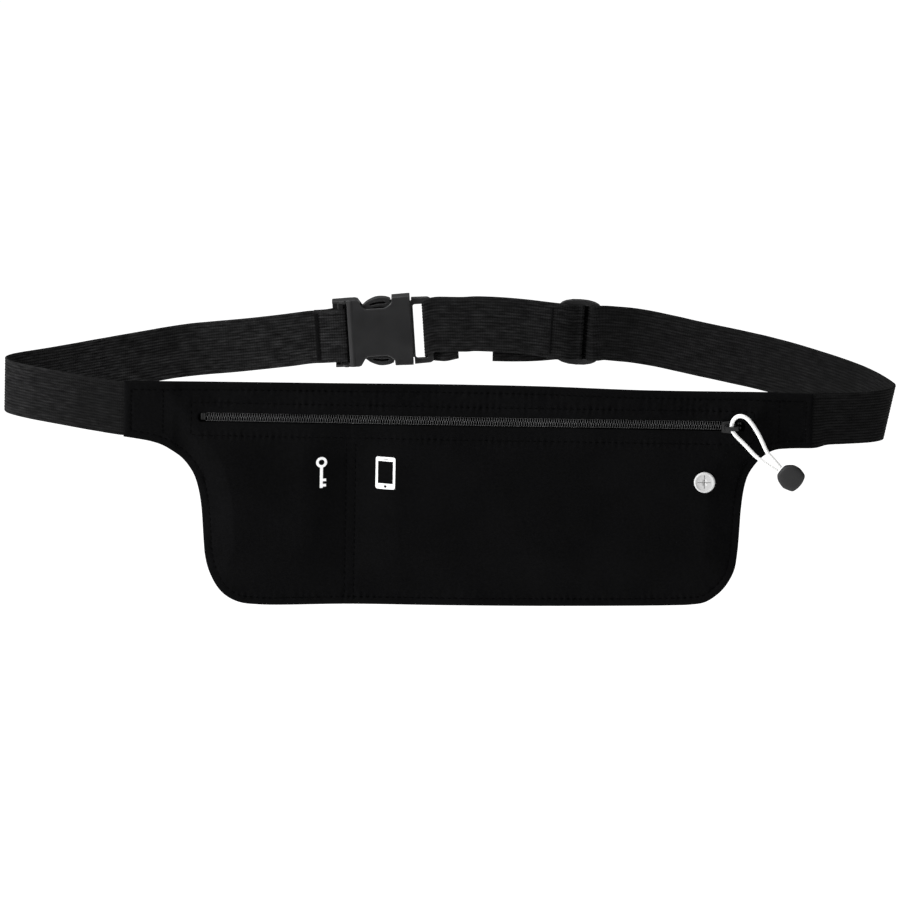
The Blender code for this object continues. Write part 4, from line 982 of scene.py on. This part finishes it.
folded = [(41.1, a_at(41.1) + 1.3), (38.0, a_at(38.0) + 1.3), (34.8, a_at(34.8) + 1.4), (31.4, 1.75), (29.4, 2.1)]
near = [(27.6, -2.08), (29.0, -2.1), (31.5, -2.15), (34.0, a_at(34.0)), (45.0, a_at(45.0))]
link = [in_frame(B, [p], h)[0] for p, h in zip(folded + wrap_male + near, RISE)]
g_path = [(-15.0, -4.4), (-7.6, -4.35), (-5.9, -4.1), (-4.1, -3.35), (-2.4, -2.4), (-1.0, -1.75), (0.4, -1.65)]
wrap_mid = around(0.0, 0, 1.1, 0.9, 0.75, ["right-in", "right-out"])
returning = [(-0.6, 1.65), (-1.6, 1.6), (-2.5, 0.95), (-3.3, -0.3), (-4.4, -1.9), (-5.8, -2.85), (-7.5, -3.1), (-14.6, -3.12)]
span = upright([(11.0, 55.9, 15.7, 0), (30.0, 55.2, 15.3, 0)])
link += curve_through([link[-1]] + span + in_frame(G, [(-15.0, -4.4)], 1.2), 7.0)[1:-1].tolist()
link += [in_frame(G, [p], h)[0] for p, h in zip(g_path, [1.2, 0.8, 0.5, 0.2, 0, 0, 0])] + in_frame(G, wrap_mid + returning)
LET_OUT = [tuple(c * MM for c in place) for place in (B(41.3, 0, -3.0), G(-6.5, 0, -3.0))]  # where its give starts and ends
web("webbing_link", link, "strap_link", 2.0, skewed=True, fuller=0.8, body="let out")

tail = in_frame(G, [(-41.4, -1.95), (-30.0, -1.92), (-20.0, -1.9), (-8.0, -1.9), (-6.4, -1.55), (-5.2, -0.1), (-3.7, 1.9),
                    (-1.9, 2.9), (0.0, 3.1), (1.3, 3.0), (2.5, 2.4), (3.6, 1.1), (4.7, -0.4), (6.1, -1.7), (8.2, -2.0),
                    (12.0, -1.95)])
TAIL_DROP = [3.4, 2.8, 1.8] + 11 * [0.0] + [-0.2, -0.8]
tail = [(t[0], t[1], t[2] - drop, *t[3:]) for t, drop in zip(tail, TAIL_DROP)]
right_sweep = [tail[-1]] + upright([
    (86.0, 57.0, 11.2, 0), (96.0, 56.2, 10.0, 0), (106.0, 53.6, 8.7, 0), (118.0, 49.6, 7.1, 0), (138.0, 42.0, 4.9, 1),
    (150.0, 36.0, 3.8, 2), (166.0, 25.6, 2.3, 3), (177.0, 15.4, 1.4, 5), (188.2, 3.6, 0.6, 7.5), (198.6, -11.4, 0.1, 10.5),
    (204.8, -24.3, 0.0, 11.5), (209.3, -36.0, 0.0, 11.5), (210.8, -42.0, 0.0, 11.5), (209.8, -47.2, 0.0, 11.5),
    (205.6, -51.9, 0.0, 11.5), (199.0, -55.0, 0.0, 11.5), (190.0, -57.6, 0.0, 11), (181.6, -60.2, 0.2, 9),
    (174.8, WING_Y, 0, 0), (166.0, WING_Y, 0, 0), (157.0, WING_Y, 0, 0)])
right_run = tail[:-1] + curve_through(right_sweep, 6.0).tolist()
web("webbing_right", right_run, "strap_right", 3.0, look=WEB_RIGHT_PAINTED_SHADE, fuller=0.6)


def bar_tack(name, place, s, e, h, node, width=1.6, side=-1, body="belt"):
    """Close zigzag stitches across the webbing."""
    heap = Heap()
    rows = np.arange(h - 11.5, h + 11.6, 0.42)
    zig = np.array([place(s + (width / 2 if i % 2 else -width / 2), v, e + side * 0.22) for i, v in enumerate(rows)])
    heap.add(*tube(curve_through(zig, 0.5), 0.17, 6))
    for k in (-1, 1):
        heap.add(*tube(np.array([place(s + k * width / 2.6, v, e + side * 0.12) for v in rows]), 0.14, 6))
    piece(name, *heap.out(), TACK, body, [node])


bar_tack("tack_housing", B, -26.4, -1.57 - WEB_T / 2, LEFT_H, "tack_housing_fold", width=1.9)
bar_tack("tack_insert", B, 39.4, a_at(39.4) + 1.3 + WEB_T / 2, -2.3, "tack_buckle_fold", side=1, body="let out")
bar_tack("tack_slide", G, -13.4, -4.42 - WEB_T / 2, 0.9, "tack_glide_fold", width=0.8)

# ---- floor, light and camera
floor_look = bpy.data.materials.new("pale_floor")
floor_look.use_nodes = True
p = floor_look.node_tree.nodes["Principled BSDF"]
p.inputs["Base Color"].default_value = (0.93, 0.93, 0.93, 1)
p.inputs["Roughness"].default_value = 0.9
p.inputs["Emission Color"].default_value = (1, 1, 1, 1)
p.inputs["Emission Strength"].default_value = 0.75
bpy.ops.mesh.primitive_grid_add(x_subdivisions=4, y_subdivisions=4, size=60, location=(0, 0, -0.62))
floor = bpy.context.object
floor.name = "floor"
floor.data.materials.append(floor_look)

world = bpy.data.worlds.new("studio")
world.use_nodes = True
sky = world.node_tree.nodes["Background"].inputs
sky["Color"].default_value, sky["Strength"].default_value = (1, 1, 1, 1), 0.2
bpy.context.scene.world = world


def area(name, at, size, power):
    data = bpy.data.lights.new(name, "AREA")
    data.energy, data.shape, data.size, data.size_y = power, "RECTANGLE", size[0], size[1]
    lamp = bpy.data.objects.new(name, data)
    bpy.context.scene.collection.objects.link(lamp)
    lamp.location = at
    lamp.rotation_euler = (Vector((0, 0, -0.02)) - Vector(at)).to_track_quat("-Z", "Y").to_euler()


area("key", (-1.9, -0.8, 1.0), (0.9, 0.9), 62)
area("fill", (0.2, -2.1, 0.8), (1.2, 1.2), 5)
area("overhead", (-0.5, 0.0, 1.7), (1.6, 1.0), 22)

cam = bpy.data.cameras.new("camera")
camera = bpy.data.objects.new("camera", cam)
bpy.context.scene.collection.objects.link(camera)
bpy.context.scene.camera = camera
ELEVATION, ROLL, DISTANCE, WIDE = math.radians(14), math.radians(1.0), 16.0, 0.432
cam.sensor_width, cam.lens = 36.0, 36.0 * DISTANCE / WIDE
forward = Vector((0, math.cos(ELEVATION), -math.sin(ELEVATION)))
up0 = Vector((0, math.sin(ELEVATION), math.cos(ELEVATION)))
right0 = Vector((1, 0, 0))
upv = up0 * math.cos(ROLL) - right0 * math.sin(ROLL)
rightv = right0 * math.cos(ROLL) + up0 * math.sin(ROLL)
aim = Vector((0.3, -62.0, -18.0)) * MM
camera.matrix_world = Matrix.Translation(aim - forward * DISTANCE) @ Matrix((rightv, upv, -forward)).transposed().to_4x4()
cam.clip_start, cam.clip_end = 0.1, 200
bpy.context.scene.view_settings.view_transform = "Standard"
